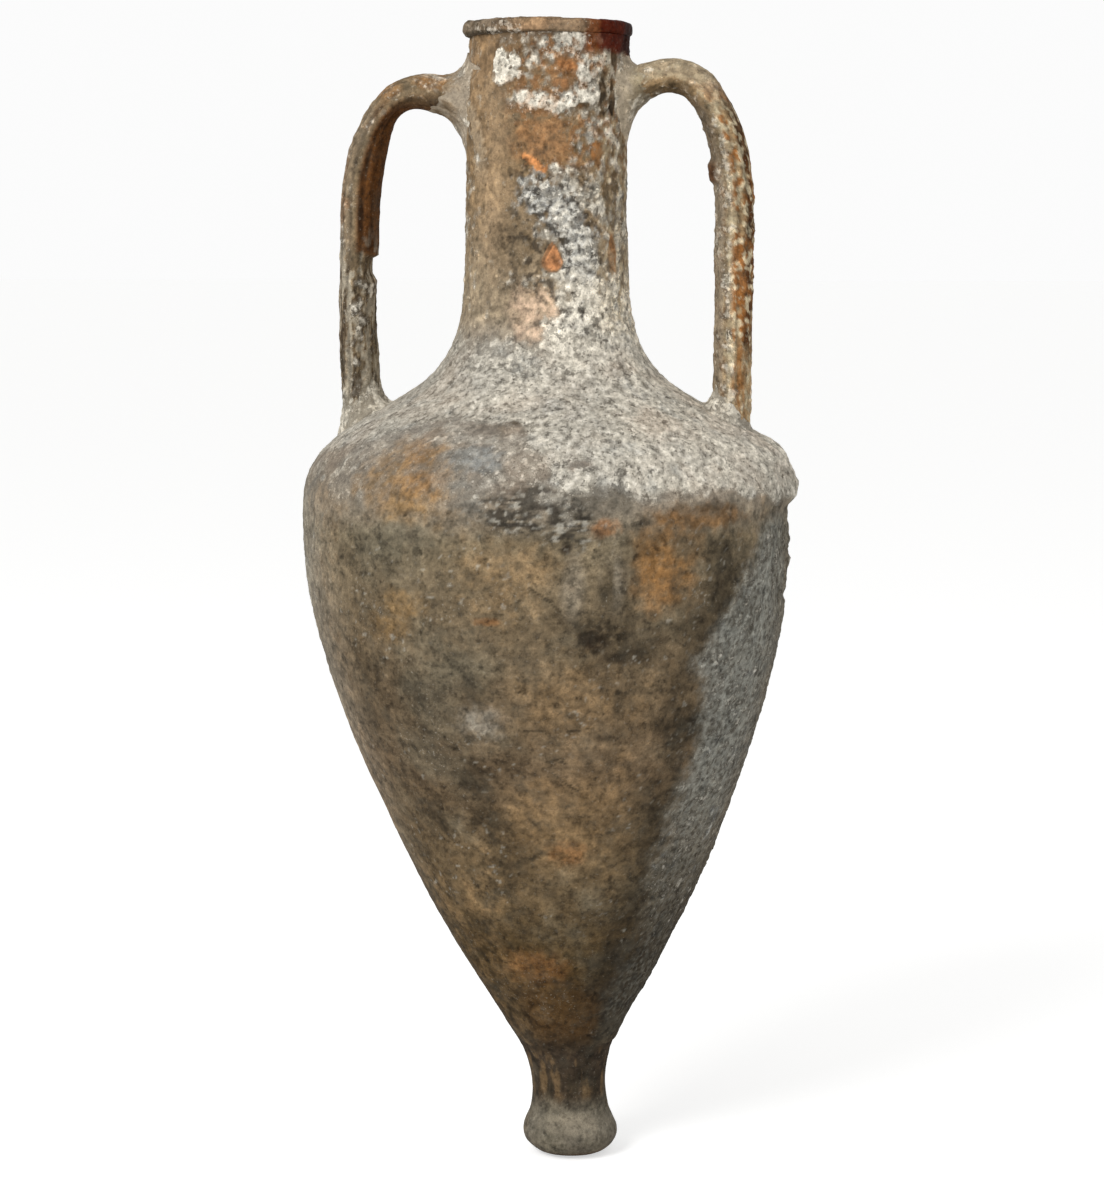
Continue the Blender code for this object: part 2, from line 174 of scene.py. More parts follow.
def rise(x, low, high):
    """0 below low, 1 above high, smooth between. Works falling too, when high is below low."""
    t = np.clip((x - low) / (high - low), 0.0, 1.0)
    return t * t * (3 - 2 * t)


def within(x, low, full, full_to, high):
    """1 from full to full_to, falling smoothly to 0 at low and at high."""
    return rise(x, low, full) * rise(x, high, full_to)


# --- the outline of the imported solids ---
WALL_NODES = ("toe", "lower_body", "upper_body", "shoulder", "neck")
IN_PLANE = 1e-5
SAME_LEVEL = 2e-6
SAME_FACE = 2e-4
ON_AXIS = 1e-4
LEAST_HOLLOW = 0.02
RING_GAP = 0.002
FOOT_HEIGHT = 0.012


def node_points(name):
    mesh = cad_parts[name].data
    co = np.zeros(len(mesh.vertices) * 3, np.float32)
    mesh.vertices.foreach_get("co", co)
    return co.reshape(-1, 3).astype(float)


def levels_of(name):
    """(height, axis x, radius) of each ring of a turned solid, from its points in the XZ plane."""
    points = node_points(name)
    points = points[np.abs(points[:, 1]) < IN_PLANE]
    rows = []
    for height in np.unique(np.round(points[:, 2], 6)):
        xs = points[np.abs(points[:, 2] - height) < SAME_LEVEL, 0]
        rows.append((height, (xs.max() + xs.min()) / 2, (xs.max() - xs.min()) / 2))
    return np.array(rows)


def bvh_of(name):
    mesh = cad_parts[name].data
    return BVHTree.FromPolygons([v.co for v in mesh.vertices], [p.vertices for p in mesh.polygons])


def outside_at(trees, height):
    """The wall's outer radius at a height, by looking at it from far to the right and left."""
    far = 1.0
    hits = []
    for side in (1, -1):
        found = [t.ray_cast(Vector((side * far, 0, height)), Vector((-side, 0, 0)))[0] for t in trees]
        hits.append(max((side * p.x for p in found if p is not None), default=0.0))
    return (hits[0] + hits[1]) / 2


def read_wall():
    """Splits the rings of the wall solids into the outer face and the inner face."""
    trees = [bvh_of(name) for name in WALL_NODES]
    outer, inner, spans = [], [], {}
    for name in WALL_NODES:
        mine = levels_of(name)
        faces = np.array([outside_at(trees, height) for height in mine[:, 0]])
        is_outer = (mine[:, 2] > faces - SAME_FACE) & (mine[:, 2] > ON_AXIS)
        outer.append(mine[is_outer])
        inner.append(mine[~is_outer & (mine[:, 2] > LEAST_HOLLOW)])
        spans[name] = mine[is_outer][:, 0].min(), mine[is_outer][:, 0].max()
    outer = np.concatenate(outer)
    inner = np.concatenate(inner)
    return outer[np.argsort(outer[:, 0])], inner[np.argsort(inner[:, 0])], spans


def thin_out(rows):
    """Leaves out rings that stand almost on top of another, as at a seam, but none of the foot's."""
    kept = [rows[0]]
    for row in rows[1:]:
        if row[0] - kept[-1][0] > RING_GAP or row[0] < FOOT_HEIGHT:
            kept.append(row)
    return np.array(kept)


def through(xs, ys, x):
    """A smooth curve through points: cubic pieces that share slopes."""
    slopes = np.gradient(ys, xs)
    i = np.clip(np.searchsorted(xs, x) - 1, 0, len(xs) - 2)
    span = xs[i + 1] - xs[i]
    t = np.clip((x - xs[i]) / span, 0.0, 1.0)
    return (
        (2 * t**3 - 3 * t**2 + 1) * ys[i]
        + (t**3 - 2 * t**2 + t) * span * slopes[i]
        + (3 * t**2 - 2 * t**3) * ys[i + 1]
        + (t**3 - t**2) * span * slopes[i + 1]
    )


rim_low, rim_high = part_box("rim_lip")
NECK_X = (rim_low.x + rim_high.x) / 2
RIM_RADIUS = (rim_high.x - rim_low.x) / 2
RIM_BOTTOM = rim_low.z
RIM_TOP = rim_high.z
rim_points = node_points("rim_lip")
MOUTH_RADIUS = np.hypot(rim_points[:, 0] - NECK_X, rim_points[:, 1]).min()

outer_rings, inner_rings, node_spans = read_wall()
outer_rings = thin_out(outer_rings[outer_rings[:, 0] < RIM_BOTTOM])
inner_rings = thin_out(inner_rings)


def axis_x(height):
    return np.interp(height, outer_rings[:, 0], outer_rings[:, 1])


def outer_radius(height):
    return through(outer_rings[:, 0], outer_rings[:, 2], np.asarray(height, float))


def inner_radius(height):
    return np.interp(height, inner_rings[:, 0], inner_rings[:, 2])


def seam_between(upper, lower):
    return (node_spans[upper][0] + node_spans[lower][1]) / 2


SEAMS = {
    "rim": RIM_BOTTOM,
    "neck": seam_between("neck", "shoulder"),
    "shoulder": seam_between("shoulder", "upper_body"),
    "belly": seam_between("upper_body", "lower_body"),
    "toe": seam_between("lower_body", "toe"),
}


def heights_along(low, high, step):
    """Heights that are evenly spaced along the outer face, bottom to top."""
    fine = np.linspace(low, high, 2000)
    radius = outer_radius(fine)
    along = np.concatenate([[0.0], np.cumsum(np.hypot(np.diff(fine), np.diff(radius)))])
    count = max(2, int(round(along[-1] / step)))
    return np.interp(np.linspace(0, along[-1], count + 1), along, fine)


# --- surfaces: points with their place on the jar ---
def unit(vectors):
    return vectors / np.linalg.norm(vectors, axis=-1, keepdims=True)


def full_turn(count):
    """Angles evenly round a full turn."""
    return 2 * math.pi * np.arange(count) / count


def circle(angle):
    """Level unit vectors at each angle."""
    return np.stack([np.cos(angle), np.sin(angle), 0 * angle], axis=1)


class Surface:
    """A grid of points, ring after ring, with outward normals and places on the jar."""

    def __init__(self, points, normals):
        self.shape = points.shape[:2]
        self.points = points.reshape(-1, 3)
        self.normals = normals.reshape(-1, 3)
        self.height = self.points[:, 2]
        beside = self.points[:, 0] - axis_x(self.height)
        self.reach = np.hypot(beside, self.points[:, 1])
        turned = np.arctan2(beside, -self.points[:, 1]) - FRONT_TURN
        self.azimuth = np.degrees((turned + math.pi) % (2 * math.pi) - math.pi)

    def moved(self, lift):
        """The points, each moved out along its normal."""
        return self.points + self.normals * lift[:, None]

    def arc(self, azimuth):
        """Distance round the jar from an azimuth, along the surface."""
        turn = (self.azimuth - azimuth + 180) % 360 - 180
        return np.radians(turn) * self.reach

    def patch(self, azimuth, height, half_width, half_height, ragged=0.35, size=0.010, seed=1, soft=0.16):
        """A soft-edged patch, 1 inside and 0 outside, with a ragged outline."""
        away = np.hypot(self.arc(azimuth) / half_width, (self.height - height) / half_height)
        near = away < 1 + soft + 1.5 * ragged
        if near.any():
            away[near] += ragged * fbm(self.points[near], size, 4, seed)
        return rise(away, 1 + soft, 1 - soft)

    def drop(self, azimuth, height, half_width, length):
        """A hanging drop: round at its foot, pointed at its top."""
        x, up = self.arc(azimuth), self.height - height
        width = half_width * np.clip(1 - np.clip(up, 0, None) / length, 0.02, 1) ** 0.7
        above = (up > length) * FAR
        return rise(np.hypot(x / width, np.minimum(up, 0) / half_width) + above, 1.15, 0.85)

    def stroke(self, places, half_width, ragged=0.3, seed=2):
        """A line drawn through (azimuth, height) places."""
        nearest = np.full(len(self.points), FAR)
        for (a0, h0), (a1, h1) in zip(places[:-1], places[1:]):
            x, y = self.arc(a0), self.height - h0
            along = math.radians(a1 - a0) * self.reach, h1 - h0
            length = along[0] ** 2 + along[1] ** 2
            t = np.clip((x * along[0] + y * along[1]) / length, 0, 1)
            nearest = np.minimum(nearest, np.hypot(x - t * along[0], y - t * along[1]))
        nearest = nearest / half_width
        near = nearest < 1.3 + 1.5 * ragged
        if near.any():
            nearest[near] += ragged * fbm(self.points[near], 0.006, 3, seed)
        return rise(nearest, 1.3, 0.6)


def turned_surface(heights, around, radius_of=outer_radius):
    """Rings of points round the leaning axis, with the outline's normals."""
    radius = np.asarray(radius_of(heights), float)
    slope = np.gradient(radius, heights)
    ring = circle(full_turn(around))
    centre = np.stack([axis_x(heights), np.zeros(len(heights)), heights], axis=1)
    points = centre[:, None, :] + radius[:, None, None] * ring
    return Surface(points, unit(ring - slope[:, None, None] * UPWARD))


# --- clay, crust, stains and painted shade ---
def clay(code):
    """A colour from its six-digit code, as linear light."""
    c = np.array([int(code[i : i + 2], 16) for i in (0, 2, 4)]) / 255
    return np.where(c <= 0.04045, c / 12.92, ((c + 0.055) / 1.055) ** 2.4)


CREAM = "e2dac9"
ASH = "b5b0a3"
BLUE_GREY = "8f9290"
OCHRE = "987545"
RUST = "96602f"
DEEP_RED = "4c1206"
SOOT = "342d22"
UMBER = "4b3c28"
WARM_TAN = "987a54"
HAZE = "6d6655"
CHAR = "241b13"
ORANGE_BROWN = "855f34"
WARM_ORANGE = "9a6536"
INNER_CLAY = "6f5a44"
PALE_TAN = "c9ac92"
DUSTY_TAN = "9c8468"
FRESH_CLAY = "a96c3a"
DULL_ORANGE = "a67a4a"

# The wall's own colour, from the toe up: (height, colour).
WALL_COLOURS = (
    (0.000, "5f4e40"), (0.008, "6b6357"), (0.022, "7b7466"), (0.034, "6f685a"), (0.046, "4a3e30"),
    (0.075, "40352a"), (0.120, "453722"), (0.160, "4a3a22"), (0.200, "63523a"), (0.240, "6e5c43"),
    (0.300, "725f48"), (0.400, "75654e"), (0.455, "786b55"), (0.480, "928777"), (0.500, "aaa092"),
    (0.570, "b6ac9e"), (0.600, "a4937a"), (0.700, "907859"), (0.795, "8b7154"),
)

# Stains, bare patches and a painted shade: (azimuth, height, half width mm, half height mm, colour,
# strength, how bare of crust, softness).
PATCHES = {
    "ochre on the left shoulder": (-34, 0.493, 38, 24, OCHRE, 0.72, 0.80, 0.50),
    "ochre core": (-30, 0.494, 18, 12, DULL_ORANGE, 0.45, 0.4, 0.60),
    "ochre top": (-34, 0.512, 12, 9, DULL_ORANGE, 0.35, 0.5, 0.60),
    "olive below the ochre": (-38, 0.454, 38, 12, HAZE, 0.60, 0.6, 0.40),
    "blue-grey on the shoulder": (-17, 0.509, 20, 9, BLUE_GREY, 0.78, 0.25, 0.25),
    "brown along the curve": (-12, 0.527, 28, 4, UMBER, 0.35, 0.5, 0.50),
    "orange under the right handle": (28, 0.441, 25, 31, ORANGE_BROWN, 0.72, 0.8, 0.45),
    "orange core under the handle": (25, 0.431, 14, 17, DULL_ORANGE, 0.60, 0.5, 0.70),
    "grey gap in the orange": (32, 0.451, 10, 7, HAZE, 0.65, 0.4, 0.60),
    "brown above it": (37, 0.470, 38, 8, ORANGE_BROWN, 0.70, 0.9, 0.35),
    "dark seam above it": (38, 0.476, 34, 3.5, SOOT, 0.50, 0.8, 0.50),
    "dark side of the orange": (43, 0.429, 13, 27, SOOT, 0.80, 0.9, 0.50),
    "dark under the orange": (37, 0.397, 28, 9, SOOT, 0.58, 0.8, 0.60),
    "dark left of the orange": (17, 0.430, 9, 26, SOOT, 0.35, 0.4, 0.60),
    "black dot": (4.4, 0.4514, 4, 3.5, CHAR, 0.90, 1.0, 0.40),
    "burnt halo": (12, 0.391, 30, 17, SOOT, 0.80, 0.6, 0.90),
    "burnt spot": (10.3, 0.390, 10, 8, CHAR, 0.88, 0.9, 0.65),
    "burnt tail": (18, 0.378, 12, 4.5, CHAR, 0.60, 0.6, 0.50),
    "dark middle right": (35, 0.328, 22, 13, SOOT, 0.78, 0.8, 0.60),
    "dark right of the middle": (33, 0.352, 14, 14, SOOT, 0.35, 0.6, 0.70),
    "dark lower right": (31, 0.262, 13, 30, SOOT, 0.42, 0.8, 0.70),
    "dark low right edge": (29, 0.185, 16, 36, SOOT, 0.58, 0.8, 0.70),
    "dark far left": (-52, 0.367, 17, 14, SOOT, 0.60, 0.6, 0.60),
    "dark left middle": (-36, 0.350, 13, 13, SOOT, 0.62, 0.6, 0.60),
    "dark streak": (-18.4, 0.357, 7, 14, SOOT, 0.62, 0.6, 0.50),
    "small dark": (-35, 0.328, 5, 5, CHAR, 0.60, 0.6, 0.50),
    "dark low middle left": (-22, 0.290, 13, 14, SOOT, 0.75, 0.7, 0.75),
    "dark under it": (-21, 0.262, 13, 14, SOOT, 0.65, 0.7, 0.75),
    "dark lower left": (-40, 0.261, 13, 12, SOOT, 0.65, 0.7, 0.75),
    "dark low": (-20, 0.221, 16, 14, SOOT, 0.50, 0.7, 0.60),
    # Painted shade: a broad darkening down the body's left side.
    "shade down the left": (-38, 0.320, 34, 64, SOOT, 0.34, 0.2, 0.80),
    "dark left of all": (-62, 0.300, 30, 70, SOOT, 0.22, 0.0, 0.80),
    "dark under the left shoulder": (-46, 0.440, 30, 8, SOOT, 0.35, 0.5, 0.70),
    "pale left middle": (-18.4, 0.334, 13, 11, ASH, 0.42, 0.0, 0.60),
    "grey left of the middle": (-24, 0.378, 40, 22, HAZE, 0.35, 0.0, 0.70),
    "ochre lower left": (-35, 0.412, 16, 9, OCHRE, 0.45, 0.6, 0.50),
    "ochre under it": (-40, 0.395, 16, 9, OCHRE, 0.40, 0.6, 0.50),
    "tan left of the spot": (-8, 0.437, 32, 17, WARM_TAN, 0.42, 0.6, 0.60),
    "tan middle": (3, 0.3505, 30, 26, WARM_TAN, 0.35, 0.5, 0.60),
    "tan lower middle": (4, 0.262, 30, 30, WARM_TAN, 0.40, 0.5, 0.60),
    "orange flecks": (3, 0.240, 12, 8, WARM_ORANGE, 0.38, 0.5, 0.50),
    "orange low left": (-15, 0.150, 22, 12, WARM_ORANGE, 0.30, 0.6, 0.60),
    "dark curve low": (-33, 0.122, 10, 8, SOOT, 0.45, 0.6, 0.60),
    "dark low right": (36, 0.130, 24, 32, SOOT, 0.92, 0.9, 0.60),
    "dark foot of the body": (24, 0.098, 30, 15, SOOT, 0.70, 0.7, 0.60),
    "rust smudge": (-14, 0.403, 9, 2.5, RUST, 0.50, 0.6, 0.40),
    "orange by the dark band": (12.8, 0.465, 10, 6, WARM_ORANGE, 0.60, 0.9, 0.35),
    "orange in the dark band": (8, 0.505, 12, 4, WARM_ORANGE, 0.30, 0.5, 0.40),
    "grey at the neck's foot": (-10, 0.565, 15, 8, BLUE_GREY, 0.70, 0.4, 0.35),
    "tan of the neck": (-3, 0.718, 20, 15, WARM_ORANGE, 0.50, 0.92, 0.40),
    "fresh clay high": (14.0, 0.768, 8, 5.0, FRESH_CLAY, 0.72, 1.0, 0.60),
    "fresh clay lower": (11, 0.757, 7, 5, FRESH_CLAY, 0.55, 0.8, 0.60),
    "tan left of the neck": (-42, 0.690, 15, 60, DUSTY_TAN, 0.45, 0.4, 0.60),
    "pale tan low on the neck": (-9, 0.601, 17, 18, PALE_TAN, 0.78, 0.75, 0.45),
    "rust fleck right": (37, 0.710, 4.5, 8, RUST, 0.75, 0.95, 0.30),
    "rust fleck low right": (52, 0.642, 4.5, 13, RUST, 0.70, 0.95, 0.30),
    "dark blob": (45, 0.685, 5, 5, UMBER, 0.75, 0.9, 0.50),
    "grey-brown by the drop": (-25, 0.642, 20, 20, UMBER, 0.45, 0.0, 0.60),
    "dark slit": (42, 0.747, 4, 13, CHAR, 0.92, 1.0, 0.30),
    "dark slit beside it": (52, 0.746, 3.6, 11, CHAR, 0.90, 1.0, 0.30),
    "dark above the slits": (54, 0.7744, 5, 6, CHAR, 0.80, 1.0, 0.40),
    "dark between the slits": (47, 0.762, 8, 8, UMBER, 0.60, 0.6, 0.60),
    "dark edge by the handle": (66, 0.715, 6, 18, UMBER, 0.45, 0.4, 0.60),
    "dark right of the neck": (58, 0.690, 5, 12, UMBER, 0.45, 0.5, 0.60),
}


class Skin:
    """What covers a surface: how far it lifts, its colour, and how crusted and glossy it is."""

    FIELDS = ("paint", "crust", "gloss", "contrast")

    def __init__(self, surface, colour, contrast=1.0, count=None):
        count = len(surface.points) if count is None else count
        self.surface = surface
        self.lift = np.zeros(count)
        self.paint = np.ones((count, 3)) * colour
        self.crust = np.zeros(count)
        self.gloss = np.zeros(count)
        self.contrast = np.full(count, contrast)

    def with_fields(self, make):
        """A skin for the mesh alone, each of whose fields is made by name."""
        made = Skin(self.surface, 0.0)
        for name in self.FIELDS:
            setattr(made, name, make(name))
        return made

    def taken(self, chosen):
        """The skin of some of the points."""
        return self.with_fields(lambda name: getattr(self, name)[chosen])

    def followed_by(self, *others):
        """One skin from several, point after point."""
        skins = (self, *others)
        return self.with_fields(lambda name: np.concatenate([getattr(skin, name) for skin in skins]))

    def tint(self, code, amount):
        self.paint = self.paint + (clay(code) - self.paint) * np.clip(amount, 0, 1)[:, None]

    def shade(self, amount):
        self.paint = self.paint * np.exp(amount)[:, None]

    def raise_by(self, millimetres):
        self.lift += millimetres * MM

    def thick(self):
        """1 where the crust hides the clay, 0 where it is thin or missing."""
        return rise(self.crust, 0.25, 0.75)

    def lump(self, seed=301, height=1.0):
        """Lifts the crust in grains of a few millimetres, with sunk, darker gaps between them."""
        p = self.surface.points
        away, value = cells(p + 0.002 * noise(p, 0.004, seed)[:, None], 0.0050, seed)
        grain = rise(away, 0.72, 0.20) * (0.35 + 0.65 * value)
        away, value = cells(p, 0.0026, seed + 9)
        small = rise(away, 0.70, 0.25) * value
        self.raise_by(height * self.crust * (0.35 + 1.05 * grain + 0.35 * small))
        self.crust = np.clip(self.crust * (0.62 + 0.55 * grain + 0.35 * small), 0, 1)

    def hollows(self, reach, strength):
        """Darkens what lies lower than its surroundings, and pales what stands higher."""
        rings, around = self.surface.shape
        field = self.lift.reshape(rings, around)
        blurred = field
        for axis in (0, 1):
            total = np.zeros_like(field)
            for step in range(-reach, reach + 1):
                if axis:
                    total += np.roll(blurred, step, axis=1)
                else:
                    total += blurred[np.clip(np.arange(rings) + step, 0, rings - 1)]
            blurred = total / (2 * reach + 1)
        relief = (field - blurred).ravel() / MM
        self.shade(np.clip(strength * relief, DARKEST_HOLLOW, PALEST_RIDGE))


def white_patches(s):
    """Where thick white crust clings to the neck."""
    band = s.stroke([(-16, 0.7475), (-3, 0.7455), (7, 0.7400), (15, 0.7420)], 0.0052, 0.9, 92)
    end_of_band = s.stroke([(17, 0.7470), (34, 0.7495)], 0.0045, 0.9, 94)
    corner = s.patch(-30, 0.768, 0.0115, 0.0105, 0.9, 0.008, 93)
    foot = s.patch(8, 0.586, 0.0080, 0.0080, 0.7, 0.008, 96)
    return np.maximum.reduce([band, end_of_band, corner, foot])


def neck_runs(s):
    """The grey-white crust that runs down the neck to the right, and on over its foot."""
    high = s.stroke([(-9, 0.683), (10, 0.674), (20, 0.655), (24, 0.634)], 0.0125, 0.8, 91)
    low = s.stroke([(25, 0.640), (25, 0.612), (18, 0.594), (12, 0.572)], 0.0125, 0.6, 90)
    return high, low


def read_off(x, places):
    """The value at x, on straight lines through (x, value) places."""
    return np.interp(x, *zip(*places))


# (azimuth, height) of the shoulder crust's lower edge, and of the brown line that curves over it.
CRUST_EDGE = (
    (-180, 0.492), (-130, 0.500), (-90, 0.486), (-60, 0.478), (-24, 0.480), (3, 0.484), (31, 0.484),
    (53, 0.480), (90, 0.470), (130, 0.486), (180, 0.492),
)
CURVE = ((-100, 0.496), (-68, 0.508), (-53, 0.521), (-41, 0.532), (-8, 0.531), (6, 0.488))
# (azimuth, crust) round the neck, and (azimuth, shade) round the shoulder.
NECK_CRUST = (
    (-180, 0.50), (-100, 0.40), (-62, 0.22), (-38, 0.08), (-26, 0.10), (-10, 0.20), (4, 0.34),
    (20, 0.46), (46, 0.50), (90, 0.46), (180, 0.50),
)
SHOULDER_SHADE = (
    (-180, 0.0), (-110, 0.0), (-70, -0.30), (-25, -0.08), (10, 0.02), (40, 0.22), (180, 0.0),
)
# (height, azimuth) of the left edge of the grey strip down the jar's right side, from the toe up.
STRIP_BORDER = (
    (0.110, 30), (0.150, 33), (0.200, 34), (0.236, 33), (0.284, 36.6), (0.306, 39), (0.3306, 40.5),
    (0.352, 38), (0.3735, 36.5), (0.395, 40), (0.416, 48), (0.445, 54), (0.470, 57),
)
# Scratches on the belly: (places, half width mm, raggedness, seed).
SCRATCHES = (
    (((-4, 0.4262), (0, 0.418), (3, 0.410)), 0.7, 0.5, 146),
    (((-1.5, 0.3070), (0.7, 0.3088), (3.0, 0.3065)), 0.9, 0.8, 147),
    (((-0.5, 0.2995), (3, 0.2915), (6.3, 0.2867)), 0.9, 0.8, 152),
    (((-7, 0.3286), (0, 0.3282), (7, 0.3285)), 0.4, 0.9, 148),
)
TRAIL = ((-72, 0.507), (-58, 0.5165), (-50, 0.526), (-42, 0.5325), (-24, 0.535), (-7, 0.530), (4, 0.520))
FINGER_RIDGE = 0.0085
INNER_FINGER_RIDGE = 0.011
SLANT = math.radians(38)
DENT_AZIMUTH = -84


def slanted(p):
    """Points in a frame that is stretched along a slope down to the right, for brushed marks."""
    along = p[:, 0] * math.cos(SLANT) - p[:, 2] * math.sin(SLANT)
    beside = p[:, 0] * math.sin(SLANT) + p[:, 2] * math.cos(SLANT)
    return np.stack([0.35 * along, p[:, 1], 1.5 * beside], axis=1)


def dent(azimuth):
    """1 in the middle of the dented left side of the mouth, 0 away from it."""
    return rise(np.cos(np.radians(azimuth - DENT_AZIMUTH)), 0.25, 0.95)


class Weather:
    """The noise fields and regions that the wall's layers share. A layer adds what later ones need."""

    def __init__(self, s):
        p, a, z = s.points, s.azimuth, s.height
        self.s, self.p, self.a, self.z = s, p, a, z
        self.broad = fbm(p, 0.110, 4, 11)
        self.middle = fbm(p, 0.034, 4, 23)
        self.fine = fbm(p, 0.009, 4, 31)
        self.speck = fbm(p, 0.0034, 3, 41)
        self.across = fbm(p * (1.8, 1.8, 9), 0.024, 3, 47)
        self.down = fbm(p * (3.0, 3.0, 0.5), 0.040, 3, 53)
        self.brushed = fbm(slanted(p), 0.014, 4, 57)
        self.grains = fbm(p * (1, 0.7, 1), 0.0050, 2, 65)
        self.worn = 0.58 + 0.42 * rise(fbm(p, 0.0065, 3, 99), -0.40, 0.10)
        self.on_neck = rise(z, 0.565, 0.600)
        self.on_body = rise(z, 0.490, 0.465)
        self.on_shoulder = (1 - self.on_neck) * (1 - self.on_body)
        self.left_of_shoulder = within(a, -150, -110, -50, -20)
        self.right_of_neck = rise(a, 28, 45)
        self.bare = np.zeros(len(p))


def lay_clay(skin, wall):
    """The clay's own mottling, how strongly the grain shows in it, and painted light on the body's left side.
    """
    from_left = np.abs((wall.a + 290) % 360 - 180)
    skin.contrast = 0.95 + 0.35 * wall.on_neck * (0.2 + 0.8 * rise(from_left, 60, 95)) + 0.25 * wall.on_body
    skin.contrast -= 0.20 * wall.on_shoulder * wall.left_of_shoulder
    skin.tint(HAZE, 0.55 * rise(wall.broad + 0.6 * wall.middle, 0.0, 0.8))
    skin.tint(WARM_TAN, 0.35 * rise(-wall.broad + 0.5 * wall.fine, 0.15, 0.8))
    skin.tint(SOOT, 0.45 * wall.on_body * rise(fbm(wall.p, 0.060, 4, 59) + 0.3 * wall.fine, 0.30, 0.75))
    # Paler grey round the body's back, with painted light along its left edge.
    skin.tint(ASH, 0.38 * wall.on_body * within(wall.a, -175, -120, -80, -50) * rise(wall.z, 0.10, 0.40))


def lay_stains(skin, wall):
    """The stains and bare patches of the table, and the drop and the chip on the neck."""
    for order, patch in enumerate(PATCHES.values()):
        azimuth, height, wide, high, colour, strength, no_crust, soft = patch
        size = 0.35 * min(wide, high) * MM + 0.004
        shape = wall.s.patch(azimuth, height, wide * MM, high * MM, 0.45, size, 101 + order, soft) * wall.worn
        skin.tint(colour, strength * shape)
        wall.bare = np.maximum(wall.bare, no_crust * shape)
    wall.drop = wall.s.drop(3.6, 0.6365, 0.0076, 0.0135)
    wall.chip = wall.s.stroke([(-15, 0.7075), (-9, 0.7035), (-2, 0.6985)], 0.0022, 0.9, 141)
    skin.tint("6a4528", 0.85 * wall.drop)
    skin.tint("b27a50", 0.85 * wall.s.drop(4.6, 0.6365, 0.0058, 0.0105))
    skin.tint("c5834e", 0.85 * wall.chip)
    wall.bare = np.maximum.reduce([wall.bare, wall.drop, wall.chip])
    wall.covered = 1 - rise(wall.bare, 0.3, 0.8)
    wall.rough_neck = wall.on_neck * within(wall.a, -40, -12, 120, 170) * wall.covered


def lay_mottling(skin, wall):
    """Umber on the neck, falls of pale drips below the shoulder, and dark and pale flecks."""
    a, z, fine, speck = wall.a, wall.z, wall.fine, wall.speck
    spotted = rise(fine + 0.6 * speck, 0.0, 0.45) * (1 - 0.5 * rise(a, 26, 44))
    skin.tint(UMBER, 0.60 * wall.rough_neck * spotted)
    left_fall = wall.s.patch(5.8, 0.427, 0.007, 0.021, 0.3, 0.02, 98, 0.6)
    right_fall = wall.s.patch(15, 0.430, 0.008, 0.020, 0.3, 0.02, 97, 0.6)
    skin.tint("8b8375", 0.42 * np.maximum(left_fall, right_fall) * rise(wall.down, -0.5, 0.3))
    dashes = wall.s.patch(11, 0.425, 0.024, 0.034, 0.3, 0.02, 100, 0.5) * wall.down
    skin.shade(0.30 * wall.middle + 0.40 * fine + 0.30 * speck + 0.5 * dashes)
    skin.shade((0.06 * wall.across + 0.30 * wall.brushed) * wall.on_body + 0.10 * wall.down * wall.on_neck)
    skin.shade(0.09 * rise(np.abs(a), 45, 25) * within(z, 0.120, 0.160, 0.220, 0.260))
    skin.tint("6b4a24", 0.35 * rise(np.abs(a + 2), 40, 20) * within(z, 0.080, 0.100, 0.120, 0.150))
    skin.tint(CHAR, 0.50 * wall.on_body * rise(fine + 0.7 * speck, 0.38, 0.72))
    flecked = rise(fbm(wall.p, 0.0042, 2, 63), 0.56, 0.80) * rise(fbm(wall.p, 0.050, 2, 67), -0.1, 0.5)
    skin.tint(ASH, 0.45 * wall.on_body * flecked * rise(z, 0.060, 0.110))


def lay_grey_strip(skin, wall):
    """The grey strip down the jar's right side, its sooty border, and painted shade over its grey."""
    z, fine, speck = wall.z, wall.fine, wall.speck
    beyond = np.radians(wall.a - read_off(z, STRIP_BORDER)) * wall.s.reach
    beyond = beyond + 0.012 * wall.middle + 0.007 * fine
    wall.strip = rise(beyond, -0.007, 0.018) * rise(wall.a, 128, 104) * within(z, 0.088, 0.118, 0.452, 0.474)
    border = within(beyond, -0.024, -0.008, 0.000, 0.008) * within(z, 0.10, 0.13, 0.420, 0.460)
    # Painted shade: the strip's grey and pale specks fade towards the jar's right edge and towards the foot.
    painted_light_falloff = (1 - 0.60 * rise(wall.a, 57, 80)) * (1 - 0.72 * rise(z, 0.340, 0.170))
    skin.tint("94958d", 0.80 * wall.strip * painted_light_falloff)
    skin.tint(SOOT, 0.62 * border * rise(wall.middle, -0.6, 0.2))
    skin.tint(SOOT, wall.strip * (0.60 * rise(z, 0.260, 0.140) + 0.50 * rise(fine + 1.5 * speck, 0.0, 0.5)))
    skin.tint(SOOT, 0.30 * wall.strip * rise(wall.middle + 0.4 * fine, 0.05, 0.4))
    skin.tint("b4b3a9", 0.42 * wall.strip * painted_light_falloff * rise(-speck, 0.08, 0.36))
    skin.tint(CHAR, 0.40 * wall.strip * rise(speck, 0.14, 0.42))


